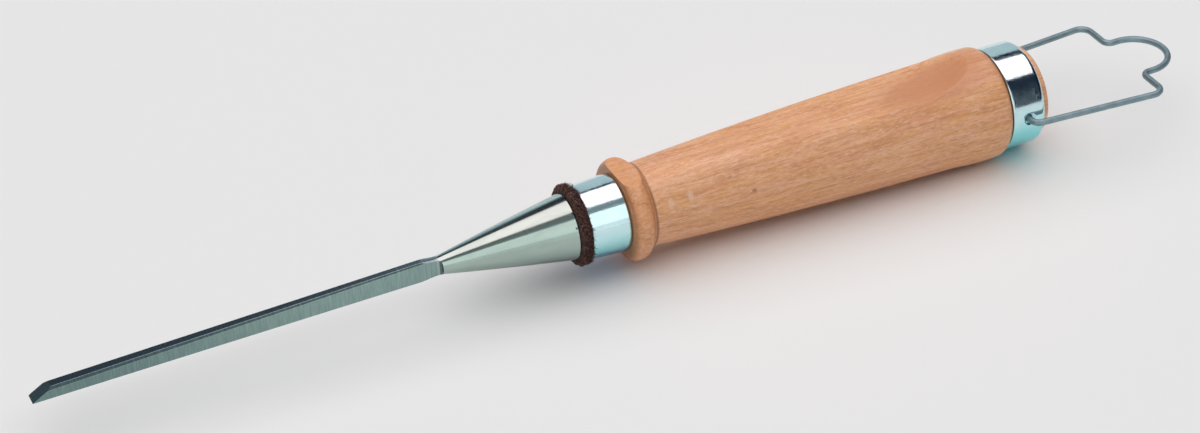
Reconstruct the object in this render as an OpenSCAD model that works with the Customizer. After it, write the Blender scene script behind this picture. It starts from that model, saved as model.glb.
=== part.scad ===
// Wood chisel with a tanged blade, turned beech handle, leather washer,
// plated ferrule, plated striking hoop and a wire loop that hangs the tool up.
// Stations run along the tool's axis from the cutting edge, in millimetres.
// Z is up, square to the handle's two flats, and the blade's flat back faces down.

/* [Blade] */
// Width of the blade at the cutting edge
blade_w = 4; // [3:0.5:10]
// Width of the blade at the neck
blade_neck_w = 2.4; // [2:0.1:5]
// Thickness of the blade at the top of the end bevel
blade_tip_t = 3.15; // [2.5:0.05:5]
// Thickness of the blade at the neck
blade_neck_t = 5.8; // [5:0.1:7]
// Station of the neck, where the blade's ground sides end
neck_s = 108.3; // [90:0.1:140]
// Depth of the back below the axis at the neck
back_neck_z = 2.75; // [2.4:0.05:3.2]
// Lean of the back away from the axis, in degrees, so that knuckles clear the work
back_lean = 0.4; // [0:0.1:2]
// How much deeper the back is ground beside the neck, so that its lapped part ends straight
back_relief = 0.05; // [0.02:0.01:0.2]
// Angle of the end bevel to the back
bevel_deg = 30; // [20:1:40]
// Angle of the honed bevel to the back
hone_deg = 38; // [30:1:50]
// Length of the honed bevel along the back
hone_len = 0.5; // [0.2:0.1:1]
// Width of the top chamfers at the cutting end
chamfer_tip = 0.7; // [0.4:0.05:1]
// Width of the top chamfers at the neck
chamfer_neck = 0.4; // [0.1:0.05:0.6]
// Slope of the top chamfers
chamfer_deg = 45; // [30:1:60]
// Radius that the grinding wheel leaves where a face ends
runout_r = 1.2; // [0.6:0.1:3]

/* [Bolster and tang] */
// Radius of the neck between the blade and the bolster
neck_r = 2.55; // [2.2:0.05:4]
// Slope at which the forged bar narrows to the neck, so that the blade's corners fade out
narrow_deg = 7; // [4:0.5:12]
// Radius of the hollow at the neck, between the bar and the bolster cone
neck_arc = 12; // [6:1:30]
// Length of the bolster cone
bolster_l = 37.3; // [25:0.1:50]
// Radius of the bolster at its seat
bolster_r = 9.1; // [7:0.1:12]
// Bulge of the bolster's side beyond a straight cone
bolster_swell = 0.15; // [0.05:0.05:0.6]
// Bevel of the bolster's seat edge
bolster_bevel = 0.4; // [0.2:0.1:0.8]
// Side of the square tang at the bolster
tang_w = 7; // [5:0.5:9]
// Side of the square tang at its end
tang_end_w = 3; // [2:0.5:4]
// Length of the tang behind the bolster
tang_l = 72; // [50:1:90]
// Gap between the tang and what it is driven through
tang_gap = 0.1; // [0.05:0.05:0.3]

/* [Leather washer] */
// Thickness of the washer
washer_t = 3.6; // [2:0.1:5]
// Outer radius of the washer
washer_r = 10.9; // [9:0.1:13]
// Rounding of the washer's rim
washer_round = 1.2; // [0.5:0.1:1.5]

/* [Front ferrule] */
// Length of the ferrule
ferrule_l = 10.2; // [6:0.1:15]
// Outer radius of the ferrule at the washer
ferrule_front_r = 10.1; // [9.5:0.1:12]
// Outer radius of the ferrule at the handle
ferrule_rear_r = 10.65; // [9.7:0.05:12.5]
// Wall of the ferrule at the washer
ferrule_wall = 1.2; // [0.8:0.1:1.6]
// Bevel of the ferrule's two edges
ferrule_bevel = 0.4; // [0.2:0.1:0.6]
// Gap between a metal ring and the wood inside it
ring_gap = 0.05; // [0.02:0.01:0.15]

/* [Handle] */
// Largest radius of the bead behind the ferrule
bead_r = 14.05; // [12.5:0.05:17]
// Radius of the bead's rounded profile
bead_arc = 3.6; // [3.4:0.1:6]
// Distance of the bead's crest behind the handle's shoulder
bead_back = 2.9; // [2:0.1:3.2]
// Radius of the handle in the groove behind the bead
groove_r = 11.5; // [10.5:0.05:13]
// Radius of the hollow between the bead and the grip
groove_arc = 1; // [0.8:0.1:3]
// Radius of the grip in front of the end swell
waist_r = 15; // [13:0.1:18]
// Length from the handle's front shoulder to that end of the grip
grip_l = 89.6; // [70:0.1:110]
// Bulge of the grip beyond a straight taper
grip_swell = 0.4; // [0.1:0.05:1]
// Largest radius of the end swell
knob_r = 15.75; // [14:0.05:19]
// Length from the grip to the crest of the end swell
swell_l = 17.3; // [12:0.1:25]
// Length from that crest to the handle's rear shoulder
swell_rear_l = 6.3; // [4:0.1:10]
// Radius of the end swell's profile
knob_arc = 70; // [40:1:120]
// Radius of the hollow between the grip and the end swell
waist_arc = 60; // [20:1:120]
// Rounding of the end swell's rear edge
shoulder_round = 2.8; // [1:0.1:3.5]
// Half height of the handle over its two flats
flat_z = 11.7; // [10.5:0.1:14]
// Length from the start of the flats' run-out to the crest of the end swell
flat_back = 21; // [16:0.5:40]
// Radius that the cutter leaves where the flats end
flat_runout_r = 28; // [15:1:60]

/* [Striking end] */
// Length of the hoop
hoop_l = 10.2; // [8:0.1:15]
// Outer radius of the hoop
hoop_r = 14.4; // [13:0.05:16]
// Wall of the hoop
hoop_wall = 1.8; // [1.2:0.1:2.4]
// Rounding of the hoop's rear edge
hoop_round = 1.4; // [0.6:0.1:1.8]
// How far the struck end stands behind the hoop
butt_out = 4; // [2.5:0.1:6]
// Rise of the struck end's dome
dome_rise = 2.2; // [1:0.1:2.4]
// Width across the dimple around each hole
dimple_d = 3.6; // [2.8:0.1:5]
// Depth of the dimple
dimple_depth = 0.6; // [0.3:0.1:1]

/* [Hanging loop] */
// Diameter of the wire
wire_d = 1.8; // [1.2:0.1:2.2]
// Gap between the wire and its holes
pin_gap = 0.2; // [0.1:0.05:0.4]
// Distance of each wire end from the tool's axis
pin_end = 9.8; // [8:0.1:11]
// Gap between the legs and the end swell
leg_gap = 0.5; // [0.3:0.1:2]
// Splay of each leg
leg_splay = 4.8; // [0:0.1:8]
// Radius of the bend beside each hole
bend_r = 2.2; // [1.6:0.1:3]
// Distance of the loop's shoulders from the hinge
shoulder_a = 39.5; // [30:0.5:60]
// Radius of the loop's outer corners
corner_r = 3.2; // [2:0.1:5]
// Radius of the notches beside the nose
notch_r = 2.2; // [1.2:0.1:3]
// Radius of the loop's nose
nose_r = 9; // [7:0.1:11]
// Distance of the nose from the hinge
reach = 52.1; // [48:0.1:80]

/* [Hidden] */
round_fn = 128;
wire_fn = 48;
// A straight stretch of wire is a hair thinner than a bend and starts just inside it
run_d = wire_d - 0.02;
run_in = 0.15;
base_s = neck_s + bolster_l;
collar_s = base_s + washer_t;
shoulder_s = collar_s + ferrule_l;
bead_s = shoulder_s + bead_back;
waist_s = shoulder_s + grip_l;
knob_s = waist_s + swell_l;
hoop_s = knob_s + swell_rear_l;
flat_end_s = knob_s - flat_back;
tang_end_s = base_s + tang_l;
spigot_r = ferrule_front_r - ferrule_wall;
tenon_r = hoop_r - hoop_wall - ring_gap;
hoop_end_s = hoop_s + hoop_l;
butt_s = hoop_end_s + butt_out;
hinge_s = hoop_s + hoop_l / 2;
hole_r = wire_d / 2 + pin_gap;
mid_s = (hinge_s + reach + wire_d / 2) / 2;
// Blade section along its length
back_tip_z = back_neck_z + neck_s * tan(back_lean);
bevel_l = blade_tip_t / tan(bevel_deg);
top_slope = atan((blade_neck_t - blade_tip_t) / (neck_s - bevel_l));
top_tip_z = blade_tip_t - bevel_l * tan(top_slope);
stock_r = norm([blade_w / 2, max(back_tip_z, blade_neck_t)]) + 1;
side_turn = atan((blade_w - blade_neck_w) / 2 / neck_s);
chamfer_tip_y = blade_w / 2 - chamfer_tip;
chamfer_turn = atan((blade_neck_w / 2 - chamfer_neck - chamfer_tip_y) / neck_s);
// Tangent arcs of the turned profiles, each as [radius, station]
cone_deg = atan((bolster_r - neck_r) / bolster_l);
neck_c = [neck_r + neck_arc, neck_s];
neck_start = neck_c - neck_arc * [cos(narrow_deg), sin(narrow_deg)];
bar_s = neck_start[1] - (stock_r - neck_start[0]) / tan(narrow_deg);
// Station where the bar still holds the back's full width, so that the lapped part ends there
lap_r = norm([blade_neck_w / 2, back_neck_z]) + 0.3;
lap_s = neck_start[1] - max(0, lap_r - neck_start[0]) / tan(narrow_deg);
relief_s = neck_s + runout_r;
cone_start = neck_c - neck_arc * [cos(cone_deg), -sin(cone_deg)];
cone_c = bulge_centre(cone_start, [bolster_r, base_s], bolster_swell);
cone_arc = bulge_radius(cone_start, [bolster_r, base_s], bolster_swell);
cone_end = on_bulge(cone_c, cone_arc, base_s - bolster_bevel);
groove_s = bead_s + sqrt(pow(bead_arc + groove_arc, 2) - pow(groove_r + groove_arc - bead_r + bead_arc, 2));
bead_c = [bead_r - bead_arc, bead_s];
grip_c = bulge_centre([groove_r, groove_s], [waist_r, waist_s], grip_swell);
grip_arc = bulge_radius([groove_r, groove_s], [waist_r, waist_s], grip_swell);
knob_c = [knob_r - knob_arc, knob_s];
round_s = hoop_s - shoulder_round;
round_c = [knob_c[0] + sqrt(pow(knob_arc - shoulder_round, 2) - pow(round_s - knob_s, 2)), round_s];
groove_c = hollow_centre(bead_c, bead_arc, grip_c, grip_arc, groove_arc, 1);
waist_c = hollow_centre(grip_c, grip_arc, knob_c, knob_arc, waist_arc, -1);
// Points where those arcs touch
bead_front = [bead_c[0] + sqrt(bead_arc * bead_arc - bead_back * bead_back), shoulder_s];
bead_end = touch(bead_c, bead_arc, groove_c);
grip_start = touch(grip_c, grip_arc, groove_c);
grip_end = touch(grip_c, grip_arc, waist_c);
knob_start = touch(knob_c, knob_arc, waist_c);
knob_end = knob_c + (round_c - knob_c) * knob_arc / norm(round_c - knob_c);
dome_arc = (tenon_r * tenon_r + dome_rise * dome_rise) / (2 * dome_rise);
// Bends of the wire, each as [along the tool, across the loop]
leg_b = knob_r + leg_gap + wire_d / 2;
bend_c = [bend_r, leg_b - bend_r];
bend_end = bend_c + bend_r * [-sin(leg_splay), cos(leg_splay)];
corner_a = shoulder_a - corner_r;
leg_l = (corner_a - corner_r * sin(leg_splay) - bend_end[0]) / cos(leg_splay);
leg_end = bend_end + leg_l * [cos(leg_splay), sin(leg_splay)];
corner_c = [corner_a, leg_end[1] - corner_r * cos(leg_splay)];
notch_c = [shoulder_a + notch_r, nose_r + notch_r];
nose_a = reach - nose_r;

// Radius of the arc that bulges by rise beyond the chord from p to q
function bulge_radius(p, q, rise) = (pow(norm(q - p) / 2, 2) + rise * rise) / (2 * rise);

// Centre of that arc, on the axis side of the chord
function bulge_centre(p, q, rise) =
    (p + q) / 2 - (bulge_radius(p, q, rise) - rise) * [q[1] - p[1], p[0] - q[0]] / norm(q - p);

// Centre of the hollow of radius h that touches two bulges from outside, on the given side
function hollow_centre(c1, r1, c2, r2, h, side) =
    let (d = norm(c2 - c1), along = (pow(r1 + h, 2) - pow(r2 + h, 2) + d * d) / (2 * d))
    let (across = sqrt(pow(r1 + h, 2) - along * along), u = (c2 - c1) / d)
    c1 + along * u + side * across * sign(u[0]) * [-u[1], u[0]];

// Point of a bulge at a station
function on_bulge(c, r, s) = [c[0] + sqrt(r * r - pow(s - c[1], 2)), s];

// Point of a bulge that faces another centre
function touch(c, r, other) = c + (other - c) * r / norm(other - c);

// Points of the arc about c from p to q, p left out; side is 1 for a bulge, -1 for a hollow
function sweep(c, r, p, q, n, side = 1) =
    let (a = atan2(p[1] - c[1], side * (p[0] - c[0])), b = atan2(q[1] - c[1], side * (q[0] - c[0])))
    [for (i = [1:n]) let (t = a + (b - a) * i / n) c + r * [side * cos(t), sin(t)]];

// Turns a half profile, drawn as [radius, station], about the tool's axis
module turned() {
    rotate([0, 90, 0])
        rotate_extrude($fn = round_fn)
            children();
}

// Slice of a profile between two stations, on one side of the axis
module between(s1, s2, r = 40) {
    translate([0, s1])
        square([r, s2 - s1]);
}

module arc_face(c, r) {
    translate(c)
        circle(r = r, $fn = 720);
}

// Square tang, tapered on all four sides
module tang(gap) {
    intersection() {
        translate([0, 0, -10])
            linear_extrude(height = 20)
                tang_plan(gap);
        rotate([90, 0, 0])
            translate([0, 0, -10])
                linear_extrude(height = 20)
                    tang_plan(gap);
    }
}

module tang_plan(gap) {
    h1 = tang_w / 2 + gap;
    h2 = tang_end_w / 2 + gap;
    polygon([[base_s, -h1], [tang_end_s + gap, -h2], [tang_end_s + gap, h2], [base_s, h1]]);
}

// Forged stock: a thick bar that narrows to the neck, then the bolster cone
module stock() {
    turned()
        polygon(concat(
            [[0, -2], [stock_r, -2], [stock_r, bar_s], neck_start],
            sweep(neck_c, neck_arc, neck_start, cone_start, 6, -1),
            sweep(cone_c, cone_arc, cone_start, cone_end, 10),
            [[bolster_r - bolster_bevel, base_s], [0, base_s]]
        ));
}

// Face of a grinding cut, down to the line y = 0 as far as the neck, where the wheel lifts away
module wheel_cut() {
    translate([-10, 0])
        square([neck_s + 10, 20]);
    translate([neck_s, runout_r])
        circle(r = runout_r, $fn = 180);
    translate([neck_s - 1, runout_r])
        square([runout_r + 0.98, 20]);
}

// Carries the blade's own frame, on its back at the cutting edge, to its place
module on_back() {
    translate([0, 0, -back_tip_z])
        rotate([0, -back_lean, 0])
            children();
}

module across_blade() {
    rotate([90, 0, 0])
        translate([0, 0, -15])
            linear_extrude(height = 30)
                children();
}

// Lapped back, and the deeper cut beside the neck
module back_cut() {
    across_blade()
        mirror([0, 1, 0])
            polygon([
                [-10, 0], [lap_s, 0], [lap_s, -back_relief],
                [relief_s, -back_relief], [relief_s, 20], [-10, 20],
            ]);
}

module top_cut() {
    translate([0, 0, top_tip_z])
        rotate([0, -top_slope, 0])
            across_blade()
                wheel_cut();
}

module side_cut() {
    translate([0, blade_w / 2, -15])
        rotate([0, 0, -side_turn])
            linear_extrude(height = 30)
                wheel_cut();
}

// End bevel with the honed bevel at its edge
module bevel_cut() {
    hone_h = hone_len * tan(hone_deg);
    bevel_x = hone_len + (12 - hone_h) / tan(bevel_deg);
    across_blade()
        polygon([[-5, -15], [0, -15], [0, 0], [hone_len, hone_h], [bevel_x, 12], [-5, 12]]);
}

// Top chamfer of one side, wide at the cutting end and fine at the neck
module top_chamfer() {
    translate([0, chamfer_tip_y, top_tip_z])
        rotate([0, -top_slope, chamfer_turn])
            rotate([-chamfer_deg, 0, 0])
                translate([-5, -3, 0])
                    cube([neck_s + 5, 10, 6]);
}

// Blade and bolster with every face ground
module ground_blade() {
    difference() {
        stock();
        on_back() {
            back_cut();
            top_cut();
            bevel_cut();
        }
        for (side = [0, 1])
            mirror([0, side, 0]) {
                side_cut();
                on_back()
                    top_chamfer();
            }
    }
}

module blade() {
    color([0.55, 0.6, 0.6]) {
        ground_blade();
        tang(0);
    }
}

module leather_washer() {
    color([0.22, 0.14, 0.11])
        difference() {
            turned() {
                between(base_s, collar_s, washer_r - washer_round);
                between(base_s + washer_round, collar_s - washer_round, washer_r);
                arc_face([washer_r - washer_round, base_s + washer_round], washer_round);
                arc_face([washer_r - washer_round, collar_s - washer_round], washer_round);
            }
            tang(tang_gap);
        }
}

module front_ferrule() {
    in_r = spigot_r + ring_gap;
    color([0.72, 0.82, 0.84])
        turned()
            polygon([
                [in_r, collar_s],
                [ferrule_front_r - ferrule_bevel, collar_s],
                [ferrule_front_r, collar_s + ferrule_bevel],
                [ferrule_rear_r, shoulder_s - ferrule_bevel],
                [ferrule_rear_r - ferrule_bevel, shoulder_s],
                [in_r, shoulder_s]
            ]);
}

// Half profile of the handle before its flats are cut
module handle_profile() {
    polygon(concat(
        [[0, collar_s], [spigot_r, collar_s], [spigot_r, shoulder_s], bead_front],
        sweep(bead_c, bead_arc, bead_front, bead_end, 16),
        sweep(groove_c, groove_arc, bead_end, grip_start, 8, -1),
        sweep(grip_c, grip_arc, grip_start, grip_end, 10),
        sweep(waist_c, waist_arc, grip_end, knob_start, 6, -1),
        sweep(knob_c, knob_arc, knob_start, knob_end, 8),
        sweep(round_c, shoulder_round, knob_end, [round_c[0], hoop_s], 8),
        [[tenon_r, hoop_s], [tenon_r, butt_s - dome_rise]],
        sweep([0, butt_s - dome_arc], dome_arc, [tenon_r, butt_s - dome_rise], [0, butt_s], 8)
    ));
}

// What the cutter takes off the top of the handle
module flat_cut() {
    rotate([90, 0, 0])
        translate([0, 0, -25])
            linear_extrude(height = 50) {
                translate([shoulder_s - 5, flat_z])
                    square([flat_end_s - shoulder_s + 5, 10]);
                translate([flat_end_s, flat_z + flat_runout_r])
                    circle(r = flat_runout_r, $fn = 180);
            }
}

// Places a child on the hinge line
module at_hinge() {
    translate([hinge_s, 0, 0])
        children();
}

// Drilled hole for one wire end, from the given distance outwards
module pin_hole(from) {
    rotate([-90, 0, 0])
        translate([0, 0, from])
            cylinder(r = hole_r, h = hoop_r - from, $fn = wire_fn);
}

module handle() {
    color([0.8, 0.59, 0.43])
        difference() {
            turned()
                handle_profile();
            flat_cut();
            mirror([0, 0, 1])
                flat_cut();
            tang(tang_gap);
            at_hinge() {
                pin_hole(pin_end - 0.5);
                rotate([180, 0, 0])
                    pin_hole(pin_end - 0.5);
            }
        }
}

module hoop_profile() {
    in_r = hoop_r - hoop_wall;
    edge = [hoop_r - hoop_round, hoop_end_s - hoop_round];
    translate([in_r, hoop_s])
        square([hoop_wall, hoop_l - hoop_round]);
    translate([in_r, hoop_s])
        square([hoop_wall - hoop_round, hoop_l]);
    intersection() {
        arc_face(edge, hoop_round);
        translate(edge)
            square(hoop_round);
    }
}

// Drilled hole of the hoop with the dimple around it
module hoop_hole() {
    rotate([-90, 0, 0])
        rotate_extrude($fn = wire_fn)
            polygon([
                [0, tenon_r - 2],
                [hole_r, tenon_r - 2],
                [hole_r, hoop_r - dimple_depth],
                [dimple_d / 2, hoop_r],
                [dimple_d / 2, hoop_r + 2],
                [0, hoop_r + 2]
            ]);
}

module striking_hoop() {
    color([0.72, 0.82, 0.84])
        difference() {
            turned()
                hoop_profile();
            at_hinge() {
                hoop_hole();
                rotate([180, 0, 0])
                    hoop_hole();
            }
        }
}

// Straight stretch of wire from a point, in a heading, reaching into the bends at its ends
module wire_run(p, heading, l, start_in = run_in) {
    translate([p[0], p[1], 0])
        rotate([0, 0, heading])
            rotate([0, 90, 0])
                translate([0, 0, -start_in])
                    cylinder(d = run_d, h = start_in + l + run_in, $fn = wire_fn);
}

// Bend of the wire about a centre, from one bearing through an angle
module wire_bend(c, r, bearing, sweep) {
    translate([c[0], c[1], 0])
        rotate([0, 0, bearing])
            rotate_extrude(angle = sweep, $fn = round_fn)
                translate([r, 0])
                    circle(d = wire_d, $fn = wire_fn);
}

// One half of the loop, from its hole to the side of the nose
module loop_side() {
    wire_run([0, pin_end], 90, bend_c[1] - pin_end, 0);
    wire_bend(bend_c, bend_r, 90 + leg_splay, 90 - leg_splay);
    wire_run(bend_end, leg_splay, leg_l);
    wire_bend(corner_c, corner_r, 0, 90 + leg_splay);
    wire_run([shoulder_a, corner_c[1]], -90, corner_c[1] - notch_c[1]);
    wire_bend(notch_c, notch_r, 180, 90);
    wire_run([notch_c[0], nose_r], 0, nose_a - notch_c[0]);
}

module hanging_loop() {
    color([0.45, 0.5, 0.52])
        at_hinge() {
            loop_side();
            mirror([0, 1, 0])
                loop_side();
            wire_bend([nose_a, 0], nose_r, -90, 180);
        }
}

// Lays the tool on its end swell, over the middle of its length
module lay() {
    translate([-mid_s, 0, knob_r])
        children();
}

lay() blade();
lay() leather_washer();
lay() front_ferrule();
lay() handle();
lay() striking_hoop();
lay() hanging_loop();
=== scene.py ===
"""Looks of a narrow wood chisel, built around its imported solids.

Sizes in the classes are millimetres in the tool's own frame: the station runs along the
axis from the cutting edge, y runs along the hinge of the hanging loop and z stands square
to the handle's two flats. Every mesh is moved into the shared frame, in metres, as it is made.
"""

import logging
import math
from abc import ABC, abstractmethod
from dataclasses import dataclass
from enum import Enum
from typing import Callable, Dict, List, Optional, Sequence, Tuple, Union

import bpy
import numpy as np
from mathutils import Matrix


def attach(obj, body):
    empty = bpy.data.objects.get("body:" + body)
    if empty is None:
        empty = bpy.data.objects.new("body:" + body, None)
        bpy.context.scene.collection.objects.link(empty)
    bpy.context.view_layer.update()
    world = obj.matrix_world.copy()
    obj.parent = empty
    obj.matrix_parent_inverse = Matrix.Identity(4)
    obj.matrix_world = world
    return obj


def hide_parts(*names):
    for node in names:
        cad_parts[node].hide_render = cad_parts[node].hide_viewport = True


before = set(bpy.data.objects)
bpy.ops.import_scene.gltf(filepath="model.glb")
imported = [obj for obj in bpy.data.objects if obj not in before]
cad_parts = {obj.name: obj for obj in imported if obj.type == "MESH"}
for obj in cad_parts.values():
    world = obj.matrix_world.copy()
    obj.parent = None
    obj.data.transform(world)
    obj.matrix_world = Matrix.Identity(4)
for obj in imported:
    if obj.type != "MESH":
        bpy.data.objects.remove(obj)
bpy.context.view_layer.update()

LOG = logging.getLogger("chisel")
Array = np.ndarray
Colour = Tuple[float, float, float]
Place = Tuple[float, float, float]
Span = Tuple[float, float]
Weights = Tuple[float, ...]
Circle = Tuple[Array, float]
MM = 0.001
TOOL_TO_ROW = np.array([-165.35, 0.0, 15.75])
WELD_MM = 1e-4
SAME_MM = 1e-6
TINY = 1e-9
FAR = 1e6
FULL_TURN = 2 * math.pi


class Body(Enum):
    """Moving bodies of the part."""

    TOOL = "tool"
    LOOP = "loop"


class Slot(Enum):
    """Material slots of the record."""

    STEEL = "blade_steel"
    LEATHER = "leather"
    PLATE = "plated_steel"
    BEECH = "beech"
    WIRE = "wire"


class Shine(Enum):
    """What a light acts on."""

    MIRROR = "reflections only"
    MATTE = "matte surfaces only"


class Direction(Enum):
    """Side on which a hollow touches two bulges."""

    REAR = 1.0
    FRONT = -1.0


# Meshes


@dataclass
class Patch:
    """One grid of points, or a stack of equal grids, that becomes quads.

    Attributes:
        points: Rows by columns by three in tool millimetres, with an optional stack axis first.
        wrap_rows: Whether the last row joins the first.
        wrap_cols: Whether the last column joins the first.
        keep: Cells that become faces, or None for all of them.
    """

    points: Array
    wrap_rows: bool = False
    wrap_cols: bool = True
    keep: Optional[Array] = None

    def flat(self) -> Array:
        """Points as one long list."""
        return self.points.reshape(-1, 3)

    def quads(self, first: int) -> Array:
        """Corner indices of every kept cell, counted from the given first point.

        Args:
            first: Index of the patch's first point in the whole mesh.

        Returns:
            One row of four indices for each quad, ordered so that the face points outwards.
        """
        rows, cols = self.points.shape[-3:-1]
        index = first + np.arange(self.flat().shape[0]).reshape(-1, rows, cols)
        if self.wrap_cols:
            index = np.concatenate([index, index[:, :, :1]], axis=2)
        if self.wrap_rows:
            index = np.concatenate([index, index[:, :1]], axis=1)
        corners = (index[:, :-1, :-1], index[:, :-1, 1:], index[:, 1:, 1:], index[:, 1:, :-1])
        cells = np.stack(corners, axis=-1)
        return cells.reshape(-1, 4) if self.keep is None else cells[0][self.keep]


def skin(name: str, patches: Sequence[Patch], crease_deg: float) -> bpy.types.Object:
    """Joins patches into one mesh: points at the same place become one, collapsed edges go.

    Args:
        name: Name of the new object.
        patches: Grids that meet at shared points.
        crease_deg: Angle between faces above which an edge stays sharp.

    Returns:
        The object, at the origin of the shared frame.
    """
    points = np.concatenate([patch.flat() for patch in patches])
    starts = np.cumsum([0] + [patch.flat().shape[0] for patch in patches[:-1]])
    quads = np.concatenate([patch.quads(int(start)) for patch, start in zip(patches, starts)])
    keys = np.round(points / WELD_MM).astype(np.int64)
    _, first, inverse = np.unique(keys, axis=0, return_index=True, return_inverse=True)
    corners = inverse.reshape(-1)[quads]
    distinct = corners != np.roll(corners, -1, axis=1)
    folded = (corners[:, 0] == corners[:, 2]) | (corners[:, 1] == corners[:, 3])
    count = np.where(folded, 0, distinct.sum(axis=1))
    used, compact = np.unique(corners[count >= 3], return_inverse=True)
    renamed = np.zeros_like(corners)
    renamed[count >= 3] = compact.reshape(-1, 4)
    fours = renamed[count == 4]
    threes = renamed[count == 3][distinct[count == 3]].reshape(-1, 3)
    placed = (points[first][used] + TOOL_TO_ROW) * MM
    mesh = bpy.data.meshes.new(name)
    mesh.from_pydata(placed.tolist(), [], fours.tolist() + threes.tolist())
    mesh.validate()
    mesh.shade_smooth()
    mesh.set_sharp_from_angle(angle=math.radians(crease_deg))
    made = bpy.data.objects.new(name, mesh)
    bpy.context.scene.collection.objects.link(made)
    return made


# Profiles, each point as (radius, station)


def line(start: Sequence[float], end: Sequence[float], count: int) -> Array:
    """Evenly spaced points from start to end, both included."""
    share = np.linspace(0.0, 1.0, count)[:, None]
    return np.asarray(start, float) * (1 - share) + np.asarray(end, float) * share


def arc(centre: Sequence[float], start: Sequence[float], end: Sequence[float], count: int) -> Array:
    """Points of the shorter arc about a centre: centre + radius (cos a, sin a), a evenly spaced.

    Args:
        centre: Centre of the arc.
        start: First point of the arc.
        end: Point that gives the bearing of the last one.
        count: Number of points, both ends included.

    Returns:
        The points, one in each row.
    """
    hub, p, q = (np.asarray(v, float) for v in (centre, start, end))
    first = math.atan2(p[1] - hub[1], p[0] - hub[0])
    last = math.atan2(q[1] - hub[1], q[0] - hub[0])
    turn = (last - first + math.pi) % FULL_TURN - math.pi
    bearing = first + turn * np.linspace(0.0, 1.0, count)
    radius = np.hypot(*(p - hub))
    return hub + radius * np.stack([np.cos(bearing), np.sin(bearing)], axis=-1)


def soft_corner(
    before: Sequence[float], corner: Sequence[float], after: Sequence[float], count: int
) -> Array:
    """Rounds a corner: the parabola (1-t)^2 before + 2t(1-t) corner + t^2 after.

    Args:
        before: Point where the rounding starts.
        corner: The sharp corner.
        after: Point where the rounding ends.
        count: Number of points, both ends included.

    Returns:
        The points, one in each row.
    """
    share = np.linspace(0.0, 1.0, count)[:, None]
    ends = np.asarray(before, float) * (1 - share) ** 2 + np.asarray(after, float) * share**2
    return ends + 2 * share * (1 - share) * np.asarray(corner, float)


def bulge(start: Array, end: Array, rise: float) -> Circle:
    """Centre and radius of the arc that rises by a given amount beyond the chord.

    Args:
        start: First point of the chord.
        end: Last point of the chord.
        rise: Greatest distance of the arc from its chord.

    Returns:
        The centre, on the axis side of the chord, and the radius.
    """
    chord = end - start
    length = np.hypot(*chord)
    radius = ((length / 2) ** 2 + rise**2) / (2 * rise)
    inward = np.array([chord[1], -chord[0]]) / length
    return (start + end) / 2 - (radius - rise) * inward, radius


def hollow(one: Circle, two: Circle, radius: float, side: Direction) -> Array:
    """Centre of the hollow that touches two bulges from outside, where two larger circles cross.

    Args:
        one: Centre and radius of the first bulge.
        two: Centre and radius of the second bulge.
        radius: Radius of the hollow.
        side: Which of the two crossings to take.

    Returns:
        The centre of the hollow.
    """
    gap = two[0] - one[0]
    length = np.hypot(*gap)
    along = ((one[1] + radius) ** 2 - (two[1] + radius) ** 2 + length**2) / (2 * length)
    across = math.sqrt((one[1] + radius) ** 2 - along**2)
    way = gap / length
    square = np.array([-way[1], way[0]]) * np.sign(way[0])
    return one[0] + along * way + side.value * across * square


def touch(circle: Circle, other: Array) -> Array:
    """Point of a circle that faces another centre."""
    gap = other - circle[0]
    return circle[0] + gap * circle[1] / np.hypot(*gap)


def joined(runs: Sequence[Array]) -> Array:
    """One profile from runs whose ends meet, each meeting point kept once.

    Args:
        runs: Points of each run.

    Returns:
        The points of the whole profile.
    """
    whole = np.concatenate(runs)
    fresh = np.ones(len(whole), bool)
    fresh[1:] = np.hypot(*(whole[1:] - whole[:-1]).T) > SAME_MM
    return whole[fresh]


def tangent(angle_deg: float) -> float:
    """Tangent of an angle in degrees."""
    return math.tan(math.radians(angle_deg))


def lift_off(past: Array, radius: float) -> Array:
    """Height of a cutter that leaves on an arc: radius less the root of radius^2 less past^2.

    Args:
        past: Length past the start of the arc.
        radius: Radius of the cutter.

    Returns:
        Heights, zero before the start and far away beyond the radius.
    """
    gone = np.maximum(past, 0.0)
    height = radius - np.sqrt(np.maximum(radius**2 - gone**2, 0.0))
    return np.where(gone < radius, height, FAR)


# Turned surfaces


def all_round(count: int) -> Array:
    """Evenly spaced bearings of a full turn."""
    return np.linspace(0.0, FULL_TURN, count, endpoint=False)


def unit(vectors: Array) -> Array:
    """Vectors brought to a length of one."""
    return vectors / np.linalg.norm(vectors, axis=-1, keepdims=True)


def turned(radius: Array, station: Array, angle: Array) -> Array:
    """Surface of revolution: (station, radius cos angle, radius sin angle)."""
    across = np.broadcast_to(station, np.broadcast(radius, angle).shape)
    return np.stack([across, radius * np.cos(angle), radius * np.sin(angle)], axis=-1)


def spun(outline: Array, angle: Array) -> Array:
    """A profile turned through the given angles."""
    return turned(outline[:, 0, None], outline[:, 1, None], angle[None, :])


def other_side(points: Array) -> Array:
    """The same points half a turn round the tool's axis."""
    return points * np.array([1.0, -1.0, -1.0])


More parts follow.
